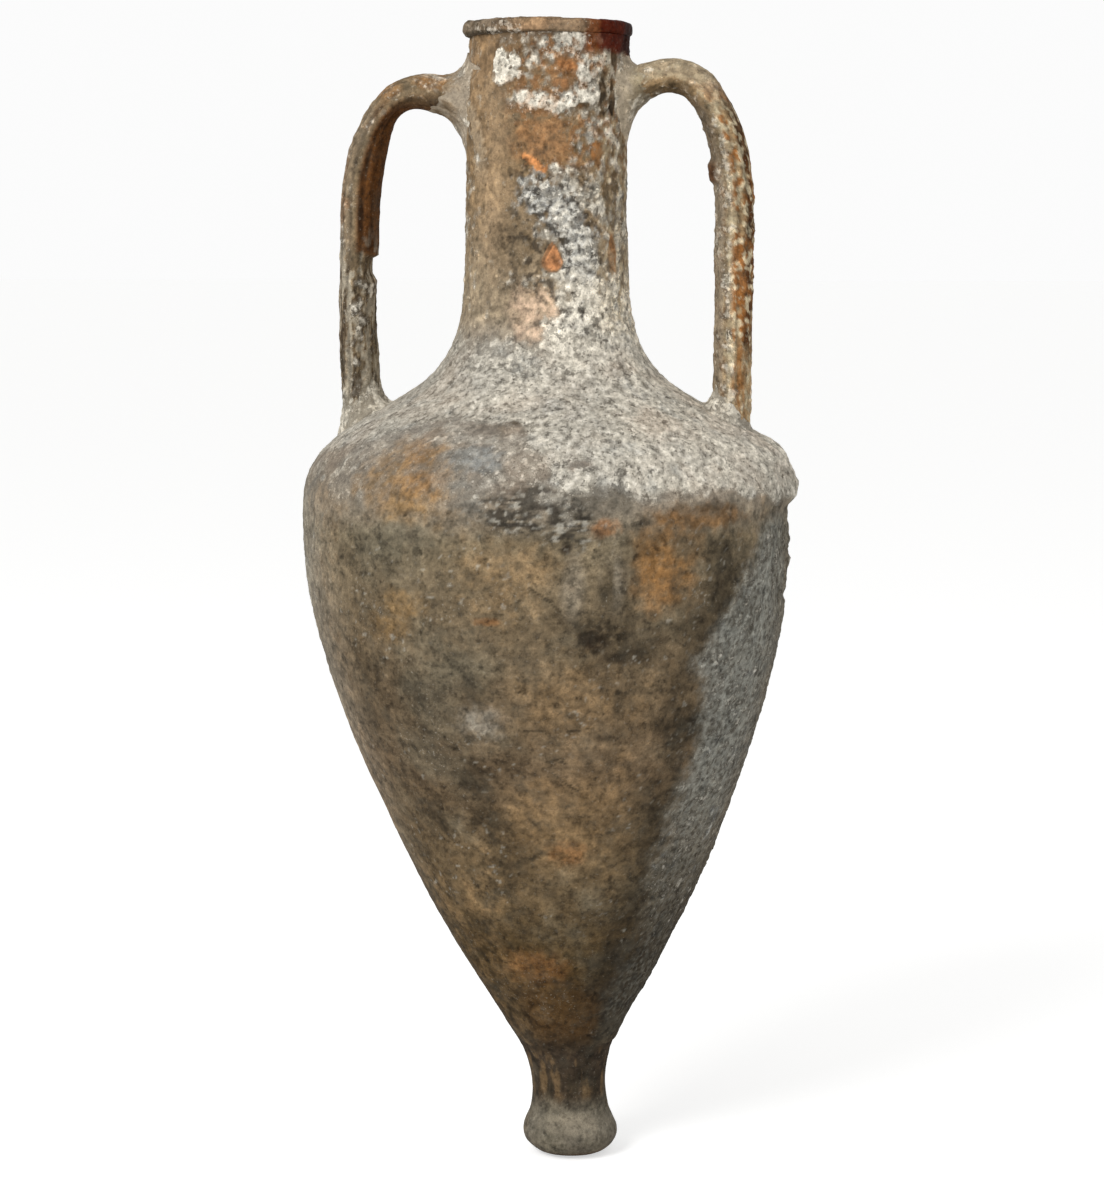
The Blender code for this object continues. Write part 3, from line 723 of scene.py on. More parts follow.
def lay_lines(skin, wall):
    """The dark band with pale dashes under the shoulder, the brown curve over it, and the scratches."""
    s = wall.s
    wall.band = np.maximum(
        s.patch(-4, 0.478, 0.038, 0.015, 0.40, 0.018, 143, 0.35),
        s.patch(5, 0.467, 0.020, 0.014, 0.40, 0.018, 149, 0.40),
    )
    wall.smudge = s.patch(13, 0.484, 0.022, 0.011, 0.50, 0.012, 150, 0.60)
    skin.tint("58544c", 0.60 * wall.smudge * wall.worn)
    skin.tint("302c27", 0.85 * wall.band * (1 - 0.70 * rise(wall.across + 0.6 * wall.fine, -0.05, 0.35)))
    skin.tint(ASH, 0.60 * wall.band * rise(fbm(wall.p * (1, 1, 1.6), 0.0055, 2, 151), 0.22, 0.50))
    wall.trail = s.stroke(TRAIL, 0.0015, 0.9, 145)
    skin.tint(UMBER, 0.65 * wall.trail)
    drawn = [s.stroke(places, wide * MM, ragged, seed) for places, wide, ragged, seed in SCRATCHES]
    wall.scratches = np.maximum.reduce(drawn)
    skin.tint(SOOT, 0.65 * wall.scratches)


def shoulder_crust(wall):
    """The shoulder's crust: a ragged lower edge, thinner under the brown curve."""
    a, z = wall.a, wall.z
    wander = 0.010 * fbm(wall.p, 0.030, 4, 71)
    edge = read_off(a, CRUST_EDGE)
    curve = read_off(a, CURVE)
    below_curve = rise(z + 0.5 * wander, curve + 0.004, curve - 0.004) * within(a, -170, -130, -2, 8)
    return rise(z + wander, edge - 0.008, edge + 0.008) * (1 - 0.55 * below_curve)


def neck_crust(wall):
    """The neck's crust: thin at the left, thick at the right, the back and the foot."""
    a, z = wall.a, wall.z
    crust = read_off(a, NECK_CRUST)
    crust = crust + 0.20 * rise(z, 0.734, 0.748) * within(a, -46, -34, 60, 80)
    crust = crust + 0.38 * rise(z, 0.640, 0.600) * rise(a, -20, 5)
    crust = crust + 0.42 * fbm(wall.p, 0.016, 4, 83) + 0.30 * fbm(wall.p, 0.0055, 2, 85)
    return np.clip(crust, 0, 1)


def body_crust(wall):
    """The body's crust: thin, in clouds, thicker round the back."""
    clouds = 0.05 + 0.22 * rise(fbm(wall.p, 0.050, 4, 95), 0.15, 0.8)
    back = 0.25 * rise(wall.a, -48, -80) * rise(wall.z, 0.30, 0.42) * rise(np.abs(wall.a), 180, 110)
    return (clouds + back) * rise(wall.z, 0.50, 0.46)


def lay_crust(skin, wall):
    """How thick the sea crust is over the wall, 0 to 1."""
    wall.white = white_patches(wall.s)
    wall.runs = neck_runs(wall.s)
    on_neck = rise(wall.z, 0.556, 0.600)
    crust = shoulder_crust(wall) * (1 - on_neck) + on_neck * neck_crust(wall)
    crust = np.maximum.reduce([crust, 0.75 * wall.runs[0], 0.92 * wall.runs[1], wall.white, body_crust(wall)])
    on_strip = (0.34 + 0.30 * wall.speck + 0.25 * wall.fine) * wall.strip
    crust = np.maximum(crust, on_strip * (1 - 0.5 * rise(wall.z, 0.200, 0.120)))
    crust = crust * (1 - 0.75 * wall.band) + 0.30 * wall.band * rise(wall.fine, 0.1, 0.5)
    crust = crust * (1 - 0.5 * wall.smudge) * (1 - wall.bare)
    skin.crust = np.clip(crust + 0.28 * wall.fine * rise(crust, 0.05, 0.4), 0, 1)
    wall.thick = skin.thick()


def lay_relief(skin, wall):
    """The potter's marks, then dents and scratches, then what grew on top."""
    a, z, p = wall.a, wall.z, wall.p
    ridges = np.sin(2 * math.pi * (z / FINGER_RIDGE + 0.35 * fbm(p, 0.080, 2, 161)))
    skin.raise_by((0.04 + 0.07 * wall.on_body * rise(wall.broad, -0.2, 0.4)) * ridges * rise(z, 0.05, 0.09))
    skin.raise_by(1.1 * fbm(p, 0.120, 2, 163) + 0.45 * wall.middle + 0.20 * wall.fine + 0.09 * wall.speck)
    skin.raise_by(0.14 * wall.brushed * wall.on_body + 0.30 * wall.across * wall.band)
    skin.raise_by(-0.35 * (wall.scratches + 0.5 * wall.trail))
    skin.raise_by(-1.4 * wall.s.patch(10.3, 0.390, 0.010, 0.007, 0.5, 0.008, 164))
    skin.raise_by(1.0 * wall.drop + 0.5 * wall.chip + 0.5 * wall.white)
    skin.raise_by(-3.2 * rise(z, 0.758, 0.772) * dent(a))
    ridge = wall.s.stroke([(-84, 0.748), (-64, 0.736), (-56, 0.715), (-54, 0.690)], 0.0065, 0.9, 166)
    ridge = ridge * rise(z, 0.682, 0.712)
    skin.raise_by(1.2 * ridge)
    skin.tint("a89a84", 0.42 * ridge)
    ragged = fbm(p, 0.016, 3, 167)
    overhang = within(a, 48, 84, 115, 150) * within(z, 0.468, 0.480, 0.500, 0.530)
    bitten = within(a, 55, 80, 110, 140) * within(z, 0.395, 0.408, 0.466, 0.472)
    skin.raise_by((4.5 + 3.0 * ragged) * overhang - (2.4 + 3.4 * ragged) * bitten)
    skin.raise_by(-0.9 * within(z, 0.070, 0.078, 0.0815, 0.0840) * rise(a, 10, 50))
    pits = rise(fbm(p, 0.0070, 3, 171), 0.50, 0.85) * (1 - wall.thick)
    skin.raise_by(-0.5 * pits)
    skin.shade(-0.5 * pits)
    skin.lump(height=1 - 0.45 * wall.on_shoulder)


def colour_crust(skin, wall):
    """The crust's own colours, white on the neck's patches."""
    p, thick = wall.p, wall.thick
    skin.tint(ASH, 0.70 * thick * (1 - 0.3 * rise(wall.broad, -0.3, 0.5)) * (1 - 0.75 * wall.strip))
    skin.tint(CREAM, 0.55 * thick * rise(fbm(p, 0.014, 4, 173), -0.1, 0.5) * (1 - wall.strip))
    skin.tint(BLUE_GREY, 0.45 * thick * rise(fbm(p, 0.024, 3, 175), 0.1, 0.6))
    skin.tint("a99a88", 0.45 * thick * wall.on_shoulder * rise(fbm(p, 0.034, 4, 177), 0.0, 0.5))
    skin.tint(CREAM, np.maximum(0.85 * wall.white, 0.45 * wall.runs[1]))
    skin.tint("bcbfbe", 0.45 * wall.runs[0] * wall.covered)


def colour_neck(skin, wall):
    """Dark, cream and rusty grains on the neck's right."""
    a, z, grains, rough_neck = wall.a, wall.z, wall.grains, wall.rough_neck
    dark_grains = rough_neck * rise(grains, 0.14, 0.38) * (1 - 0.6 * wall.white)
    dark_grains = dark_grains * (1 - 0.45 * wall.right_of_neck)
    near_rim = rise(z, 0.725, 0.740)
    skin.tint("332c25", 0.75 * dark_grains * (1 - near_rim))
    skin.tint("5a4330", 0.80 * dark_grains * near_rim)
    skin.tint(CREAM, 0.50 * rough_neck * wall.thick * rise(-grains, 0.10, 0.40))
    skin.tint("b3a488", 0.45 * rough_neck * rise(a, 30, 48) * rise(-grains, -0.05, 0.30))
    skin.shade(0.10 * rough_neck * wall.right_of_neck)
    rusty = rough_neck * rise(z, 0.692, 0.708) * (1 - 0.5 * rise(a, 30, 50))
    skin.tint("b07f50", 0.48 * rusty * rise(wall.middle + 1.2 * grains, 0.0, 0.35))


def colour_shoulder(skin, wall):
    """Grains and clouds on the shoulder, and the light and dark sides of shoulder and neck."""
    a, z, grains, on_shoulder = wall.a, wall.z, wall.grains, wall.on_shoulder
    grainy = on_shoulder * (1 - 0.45 * wall.left_of_shoulder)
    skin.tint("625d54", 0.50 * grainy * rise(grains, 0.18, 0.45))
    skin.tint(CREAM, 0.48 * grainy * wall.thick * rise(-grains, 0.12, 0.42))
    cloud = fbm(wall.p, 0.045, 3, 179)
    skin.tint("96938a", 0.40 * on_shoulder * rise(cloud, 0.05, 0.45))
    skin.tint("b09c87", 0.32 * on_shoulder * rise(-cloud, 0.10, 0.50))
    skin.shade(on_shoulder * read_off(a, SHOULDER_SHADE))
    skin.shade(0.34 * wall.on_neck * rise(z, 0.650, 0.600) * rise(a, -30, 0))
    skin.shade(0.20 * wall.on_neck * within(a, 28, 50, 80, 110))


def colour_toe(skin, wall):
    """Dark and tan streaks down the stem, and a paler knob with a worn, reddish underside darkened as painted
    shadow.
    """
    streaked = within(wall.z, 0.040, 0.050, 0.070, 0.085)
    stretched = wall.p * (2.4, 2.4, 0.4)
    skin.tint(SOOT, 0.70 * streaked * rise(fbm(stretched, 0.016, 3, 181), -0.05, 0.35))
    skin.tint(WARM_TAN, 0.35 * streaked * rise(fbm(stretched, 0.018, 3, 183), 0.0, 0.4))
    skin.tint("a79b86", 0.40 * wall.s.patch(2, 0.026, 0.018, 0.007, 0.5, 0.008, 185, 0.6))
    # The underside: worn reddish clay, darkened as painted shadow under the knob.
    skin.tint("5a3a2c", 0.45 * rise(wall.z, 0.007, 0.002))


def colour_under_rim(skin, wall):
    """The rim's stain where it runs down, and the shadow under the rim."""
    red_glaze(skin, rise(wall.z + 0.0035 * wall.fine, 0.7755, 0.7810))
    under = rise(wall.z, RIM_BOTTOM - 0.0030, RIM_BOTTOM - 0.0005)
    skin.shade(-0.35 * under * rise(-wall.thick, -0.6, 0.0))


def weather_wall(s):
    """Everything the sea and the potter left on the wall, with painted light and shade, in the order that it
    was laid down.
    """
    heights, codes = zip(*WALL_COLOURS)
    stations = np.array([clay(code) for code in codes])
    skin = Skin(s, np.stack([np.interp(s.height, heights, band) for band in stations.T], axis=1))
    wall = Weather(s)
    for lay in (lay_clay, lay_stains, lay_mottling, lay_grey_strip, lay_lines, lay_crust, lay_relief):
        lay(skin, wall)
    for colour in (colour_crust, colour_neck, colour_shoulder):
        colour(skin, wall)
    skin.hollows(3, 0.55 * (1 - 0.5 * wall.on_shoulder))
    colour_toe(skin, wall)
    colour_under_rim(skin, wall)
    return skin


def red_glaze(skin, where):
    """The glossy stain at the right of the rim: rust at its left, dark red, almost black at its right."""
    s = skin.surface
    a = s.azimuth + 5 * fbm(s.points, 0.008, 3, 191)
    amount = where * within(a, 22, 32, 88, 112)
    skin.tint("7c4018", 0.85 * amount)
    skin.tint(DEEP_RED, 0.92 * amount * rise(a, 33, 42))
    skin.tint("1e0d07", 0.80 * amount * rise(a, 58, 70))
    skin.crust = skin.crust * (1 - 0.92 * amount * rise(a, 28, 40))
    skin.gloss = np.maximum(skin.gloss, 0.8 * amount)


# --- meshes ---
def grid_faces(rings, around, loop):
    """The four-cornered faces between rings of points. A loop joins its last ring to its first."""
    index = np.arange(rings * around).reshape(rings, around)
    upper = np.roll(index, -1, axis=0) if loop else index[1:]
    lower = index if loop else index[:-1]
    quads = np.stack([lower, np.roll(lower, -1, axis=1), np.roll(upper, -1, axis=1), upper], axis=-1)
    return quads.reshape(-1, 4), index[0], index[-1]


def closed_mesh(name, points, around, skin, capped):
    """A closed mesh from rings of points: a loop of rings, or a stack that is capped at both ends."""
    quads, first, last = grid_faces(len(points) // around, around, not capped)
    corners = quads.ravel()
    starts = np.arange(len(quads)) * 4
    totals = np.full(len(quads), 4)
    if capped:
        low, high = (np.full(around, len(points) + i) for i in (0, 1))
        points = np.concatenate([points, [points[first].mean(axis=0), points[last].mean(axis=0)]])
        cap_low = np.stack([low, np.roll(first, -1), first], axis=1)
        cap_high = np.stack([high, last, np.roll(last, -1)], axis=1)
        corners = np.concatenate([corners, cap_low.ravel(), cap_high.ravel()])
        starts = np.concatenate([starts, len(quads) * 4 + 3 * np.arange(2 * around)])
        totals = np.concatenate([totals, np.full(2 * around, 3)])
    mesh = bpy.data.meshes.new(name)
    mesh.vertices.add(len(points))
    mesh.vertices.foreach_set("co", points.astype(np.float32).ravel())
    mesh.loops.add(len(corners))
    mesh.loops.foreach_set("vertex_index", corners.astype(np.int32))
    mesh.polygons.add(len(starts))
    mesh.polygons.foreach_set("loop_start", starts.astype(np.int32))
    mesh.polygons.foreach_set("loop_total", totals.astype(np.int32))
    mesh.update(calc_edges=True)
    mesh.validate()
    write_skin(mesh, skin, len(points))
    return mesh


def write_skin(mesh, skin, count):
    """Stores the skin's fields on the mesh. Points past the skin's last one take its values."""
    paint = np.ones((count, 4), np.float32)
    paint[: len(skin.paint), :3] = skin.paint
    paint[len(skin.paint) :, :3] = skin.paint[-1]
    mesh.attributes.new("paint", "FLOAT_COLOR", "POINT").data.foreach_set("color", paint.ravel())
    for name in Skin.FIELDS[1:]:
        field = getattr(skin, name)
        values = np.full(count, field[-1], np.float32)
        values[: len(field)] = field
        mesh.attributes.new(name, "FLOAT", "POINT").data.foreach_set("value", values)


def in_scene(name, data):
    """A new object in the scene."""
    made = bpy.data.objects.new(name, data)
    bpy.context.scene.collection.objects.link(made)
    return made


def show(name, points, around, skin, slot, capped=False):
    """Puts a piece in place of the CAD node of the same name."""
    mesh = closed_mesh(name, points, around, skin, capped)
    piece = in_scene(name, mesh)
    mesh.materials.append(MATERIALS[slot])
    mesh.shade_smooth()
    mesh.set_sharp_from_angle(angle=SHARP_ANGLE)
    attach(piece, "root")
    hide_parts(name)


# --- the wall and the toe ---
INNER_SPANS = {
    "neck": (SEAMS["neck"] + SCARF, RIM_BOTTOM - MM),
    "shoulder": (SEAMS["shoulder"] + SCARF, SEAMS["neck"] + SCARF),
    "upper_body": (SEAMS["belly"] + SCARF, SEAMS["shoulder"] + SCARF),
    "lower_body": (inner_rings[0][0], SEAMS["belly"] + SCARF),
}


def inner_face(heights, around):
    """The inside of the wall, with the potter's finger ridges and a little silt."""
    surface = turned_surface(heights, around, inner_radius)
    p = surface.points
    skin = Skin(surface, clay(INNER_CLAY))
    skin.shade(0.20 * fbm(p, 0.030, 3, 201) + 0.20 * fbm(p, 0.006, 3, 203))
    skin.tint(ASH, 0.5 * rise(fbm(p, 0.050, 3, 205), 0.1, 0.7))
    ridges = np.sin(2 * math.pi * (surface.height / INNER_FINGER_RIDGE + 0.3 * fbm(p, 0.060, 2, 207)))
    skin.raise_by(0.25 + 0.25 * ridges)
    return surface.moved(skin.lift), skin


def wall_piece(name, top, bottom, around, slot):
    """A thrown section: its weathered outer face, and its inner face between the same scarfs."""
    heights = heights_along(bottom, top, RING_STEP)
    step = heights[1] - heights[0], heights[-1] - heights[-2]
    below = bottom - step[0] * np.arange(EDGE_RINGS, 0, -1)
    above = top + step[1] * np.arange(1, EDGE_RINGS + 1)
    around = int(around / COARSEN)
    wide = turned_surface(np.concatenate([below, heights, above]), around)
    skin = weather_wall(wide)
    keep = slice(EDGE_RINGS * around, -EDGE_RINGS * around)

    low, high = INNER_SPANS[name]
    inner_heights = np.linspace(high, low, max(3, int((high - low) / INNER_STEP)))
    inner_points, inner_skin = inner_face(inner_heights, around)
    points = np.concatenate([wide.moved(skin.lift)[keep], inner_points])
    show(name, points, around, skin.taken(keep).followed_by(inner_skin), slot)


def toe_piece():
    """The solid foot: a flat underside, the knob, the stem and the tenon hidden in the body."""
    around = int(240 / COARSEN)
    top = SEAMS["toe"]
    heights = heights_along(0.0, top, RING_STEP)
    wide = turned_surface(heights, around)
    skin = weather_wall(wide)
    points = wide.moved(skin.lift * np.repeat(rise(heights, 0.0, 0.004), around))
    underside = points[:around] * (0.5, 0.5, 1.0)
    tenon_radius = levels_of("toe")[-1][2]
    tenon = []
    for height in (top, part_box("toe")[1].z):
        ring = turned_surface(np.array([height, height + MM]), around, lambda h: 0 * h + tenon_radius)
        tenon.append(ring.points[:around])
    points = np.concatenate([underside, points, *tenon])
    edge = skin.taken(slice(-around, None))
    skin = skin.taken(slice(around)).followed_by(skin, edge, edge)
    show("toe", points, around, skin, "toe_clay", capped=True)


# --- the rim ---
RIM_SQUARENESS = 3.4
RIM_BEAD_TURN = -78
RIM_MIDDLE = (RIM_RADIUS + MOUTH_RADIUS) / 2, (RIM_TOP + RIM_BOTTOM) / 2


def rim_surface(around, rings):
    """A rolled band whose section is a rounded square."""
    half = (RIM_RADIUS - MOUTH_RADIUS) / 2, (RIM_TOP - RIM_BOTTOM) / 2
    turn = full_turn(rings)
    c, s = np.cos(turn), np.sin(turn)
    radius = RIM_MIDDLE[0] + half[0] * np.sign(c) * np.abs(c) ** (2 / RIM_SQUARENESS)
    height = RIM_MIDDLE[1] + half[1] * np.sign(s) * np.abs(s) ** (2 / RIM_SQUARENESS)
    ring = circle(full_turn(around))
    points = radius[:, None, None] * ring + height[:, None, None] * UPWARD + (NECK_X, 0, 0)
    return Surface(points, c[:, None, None] * ring + s[:, None, None] * UPWARD)


def colour_rim(skin, fine, speck, inward):
    """Tan, grey at the left and behind, spotted with umber, and darker along its edges."""
    s = skin.surface
    a, z, p = s.azimuth, s.height, s.points
    skin.tint("7f7464", 0.7 * within(a, -178, -120, -50, -18))
    skin.tint("b8926c", 0.60 * rise(fbm(p, 0.020, 3, 405), -0.3, 0.3) * within(a, -40, -10, 10, 34))
    skin.tint(SOOT, 0.4 * rise(fbm(p, 0.012, 3, 407), 0.2, 0.7))
    skin.tint(SOOT, 0.45 * rise(z, RIM_TOP - 0.0020, RIM_TOP) * rise(fine, -0.2, 0.3))
    skin.shade(0.40 * fine + 0.35 * speck)
    skin.tint(UMBER, 0.70 * rise(fine + 0.6 * speck, 0.10, 0.45) * rise(a, 5, -15))
    skin.tint(SOOT, 0.60 * rise(z, RIM_BOTTOM + 0.0024, RIM_BOTTOM + 0.0008) * rise(a, 30, -10))
    skin.tint(INNER_CLAY, 0.8 * inward)
    crust = 0.22 + 0.45 * fbm(p, 0.014, 4, 411) + 0.45 * s.patch(-30, 0.790, 0.016, 0.010, 0.6, 0.008, 412)
    crust = crust + rise(a, -8, -30) * (0.30 * fbm(p, 0.005, 2, 413) + 0.12)
    skin.crust = np.clip(crust * (1 - 0.6 * inward), 0, 1)
    red_glaze(skin, 1 - 0.8 * inward)


def wear_rim(skin, fine, speck):
    """Dents, chips and the bead on the rim."""
    s = skin.surface
    a, z, p = s.azimuth, s.height, s.points
    skin.raise_by(0.45 * fbm(p, 0.030, 3, 421) + 0.30 * fine + 0.12 * speck)
    skin.raise_by(0.9 * s.patch(RIM_BEAD_TURN, RIM_TOP - 0.004, 0.007, 0.006, 0.1, 0.010, 425))
    skin.raise_by(-2.0 * dent(a) * rise(s.reach, RIM_MIDDLE[0], RIM_RADIUS))
    away, value = cells(p, 0.017, 427)
    skin.raise_by(-0.9 * rise(away, 0.36, 0.15) * (value > 0.6) * rise(z, RIM_MIDDLE[1], RIM_TOP))
    skin.lump(431)
    skin.hollows(2, 0.5)


def rim_piece():
    """The rolled lip: a worn, squarish band with an uneven top, dark and glossy at its right."""
    around, rings = int(420 / COARSEN), int(44 / COARSEN)
    surface = rim_surface(around, rings)
    skin = Skin(surface, clay("9a8064"), 1.25)
    fine = fbm(surface.points, 0.008, 4, 401)
    speck = fbm(surface.points, 0.003, 3, 403)
    colour_rim(skin, fine, speck, rise(surface.reach, RIM_MIDDLE[0], MOUTH_RADIUS))
    wear_rim(skin, fine, speck)
    points = surface.moved(skin.lift)
    wobble = np.tile(fbm(circle(full_turn(around)) * 0.055, 0.040, 2, 423), rings)
    points[:, 2] += 0.9 * MM * wobble * rise(surface.height, RIM_MIDDLE[1], RIM_TOP)
    show("rim_lip", points, around, skin, "rim_clay")


# --- handles and their luting ---
STRAP_HALF_THICKNESS = 0.0132
STRAP_ROOT = 0.050
STRAP_SPRING = 0.085
STRAP_MIDDLE = 0.600
STRAP_FOOT = 0.502
BEND_FULLNESS = 2.15
BEND_LENGTH = 0.024
SUNK_END = 0.003
LIP_SUNK = 0.9 * MM
FOOT_SUNK = 1.7 * MM
STRAPS = {
    "handle_right": {
        "side": 1, "crest_scale": 0.82, "root_drop": 0.0083, "bend_low": 0.670, "bend_in": 0.0,
        "middle_in": 0.0005, "foot_in": 0.0015, "bend_thinning_mm": 0.5, "end_colour": "b0a07f",
    },
    "handle_left": {
        "side": -1, "crest_scale": 1.0, "root_drop": 0.0025, "bend_low": 0.664, "bend_in": 0.002,
        "middle_in": 0.0, "foot_in": 0.0035, "bend_thinning_mm": 6.5, "end_colour": "8d7352",
    },
}
# Grooves pressed along the strap, on both its faces: (degrees round the section from the outer side,
# depth in mm, width in degrees).
GROOVES = (
    (38, 0.7, 9), (70, 1.1, 8), (108, 0.9, 9), (142, 0.6, 9),
    (-38, 0.7, 9), (-70, 1.1, 8), (-108, 0.9, 9), (-142, 0.6, 9), (0, 0.4, 8),
)
# How far a luting runs along the strap and over the wall, on the strap's outer and inner side, metres.
LUTINGS = {
    "handle_left": {
        "top": {"along": (0.020, 0.027), "spread": (0.016, 0.040), "colour": "b3a48f"},
        "foot": {"along": (0.022, 0.024), "spread": (0.010, 0.015), "colour": "b2a896"},
    },
    "handle_right": {
        "top": {"along": (0.018, 0.018), "spread": (0.018, 0.036), "colour": "c6b69e"},
        "foot": {"along": (0.007, 0.020), "spread": (0.007, 0.015), "colour": "b9b0a0"},
    },
}


def distance_along(line):
    return np.concatenate([[0], np.cumsum(np.linalg.norm(np.diff(line, axis=0), axis=1))])


def strap_line(shape, widest, crest):
    """A handle's centre line from the neck to the shoulder: (reach from the axis, height) places."""
    bend, middle, foot = (widest - shape[part] for part in ("bend_in", "middle_in", "foot_in"))
    low = shape["bend_low"]
    t = np.linspace(0, 1, 60)
    reach = STRAP_ROOT + (STRAP_SPRING - STRAP_ROOT) * t
    run = np.stack([reach, crest - shape["root_drop"] * (1 - rise(t, 0, 1))], axis=1)
    turn = np.radians(np.linspace(90, 0, 400))
    arch = np.stack([
        STRAP_SPRING + (bend - STRAP_SPRING) * np.abs(np.cos(turn)) ** (2 / BEND_FULLNESS),
        low + (crest - low) * np.sin(turn) ** (2 / BEND_FULLNESS),
    ], axis=1)
    heights = np.linspace(low, STRAP_FOOT, 120)
    reach = bend + (middle - bend) * rise(heights, low, STRAP_MIDDLE)
    reach = reach + (foot - middle) * rise(heights, STRAP_MIDDLE, STRAP_FOOT)
    return np.concatenate([run[:-1], arch[:-1], np.stack([reach, heights], axis=1)])


class Strap:
    """A handle's centre line and its oval section, with where each side of it meets the wall."""

    def __init__(self, name):
        shape = STRAPS[name]
        low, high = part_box(name)
        self.name, self.side, self.shape = name, shape["side"], shape
        self.half_width = (high.y - low.y) / 2
        widest = (high.x - NECK_X if self.side > 0 else NECK_X - low.x) - STRAP_HALF_THICKNESS
        line = strap_line(shape, widest, high.z - STRAP_HALF_THICKNESS * shape["crest_scale"])
        along = distance_along(line)
        self.length = along[-1]
        self.s = np.linspace(0, self.length, 500)
        self.line = np.stack([np.interp(self.s, along, line[:, i]) for i in (0, 1)], axis=1)
        for _ in range(3):
            shifted = [self.line[i : len(self.line) - 4 + i] for i in range(5)]
            self.line[2:-2] = sum(shifted) / 5
        tangent = unit(np.gradient(self.line, self.s, axis=0))
        self.normal = np.stack([-tangent[:, 1], tangent[:, 0]], axis=1)
        self.bend_at = self.s[np.argmin(np.abs(self.normal[:, 0] - self.normal[:, 1]))]
        bend = widest - shape["bend_in"]
        share = np.clip((self.line[:, 0] - STRAP_SPRING) / (bend - STRAP_SPRING), 0, 1)
        self.scale = shape["crest_scale"] + (1 - shape["crest_scale"]) * share**2

    def place(self, s, turn):
        """Points and outward normals on the strap, for arrays of place along it and turn round it."""
        reach, height = (np.interp(s, self.s, self.line[:, i]) for i in (0, 1))
        out, up = (np.interp(s, self.s, self.normal[:, i]) for i in (0, 1))
        scale = np.interp(s, self.s, self.scale)
        thick, wide = STRAP_HALF_THICKNESS * scale * np.cos(turn), self.half_width * scale * np.sin(turn)
        points = [NECK_X + self.side * (reach + thick * out), wide, height + thick * up]
        facing = np.cos(turn) / STRAP_HALF_THICKNESS, np.sin(turn) / self.half_width
        normals = [self.side * facing[0] * out, facing[1], facing[0] * up]
        return np.stack(points, axis=-1), unit(np.stack(normals, axis=-1))

    def contacts(self, turn):
        """Where the line along the strap at each turn leaves the neck, and where it meets the shoulder."""
        points, _ = self.place(*np.meshgrid(self.s, turn))
        tops, feet = [], []
        for row in wall_gap(points):
            outside = np.nonzero(row > 0)[0]
            first, last = outside[0], outside[-1]
            for found, i, j in ((tops, max(first - 1, 0), first), (feet, min(last + 1, len(row) - 1), last)):
                share = 0.0 if i == j else row[j] / (row[j] - row[i])
                found.append(self.s[j] + (self.s[i] - self.s[j]) * share)
        return np.array(tops), np.array(feet)


def wall_gap(points):
    z = points[..., 2]
    return np.hypot(points[..., 0] - axis_x(z), points[..., 1]) - outer_radius(z)


def wall_normal(points):
    z = points[..., 2]
    out = unit(np.stack([points[..., 0] - axis_x(z), points[..., 1], 0 * z], axis=-1))
    out[..., 2] = (outer_radius(z - MM) - outer_radius(z + MM)) / (2 * MM)
    return unit(out)


def on_wall(points):
    """The same azimuth and height, moved on to the wall's outer face."""
    z = points[..., 2]
    x, y = points[..., 0] - axis_x(z), points[..., 1]
    scale = outer_radius(z) / np.hypot(x, y)
    return np.stack([axis_x(z) + x * scale, y * scale, z], axis=-1)


class StrapClay:
    """The noise fields of a strap, and which side of it each point is on: outer runs from 1 to -1."""

    def __init__(self, surface, turn):
        p = surface.points
        self.p, self.z = p, surface.height
        self.outer = np.cos(turn)
        self.fine = fbm(p, 0.008, 4, 501)
        self.speck = fbm(p, 0.003, 3, 503)
        self.length_wise = fbm(p * (3.2, 3.2, 0.55), 0.016, 4, 505)
        self.middle = fbm(p, 0.024, 4, 507)
        self.on_run = rise(self.z, 0.735, 0.755)
        self.on_drop = 1 - self.on_run


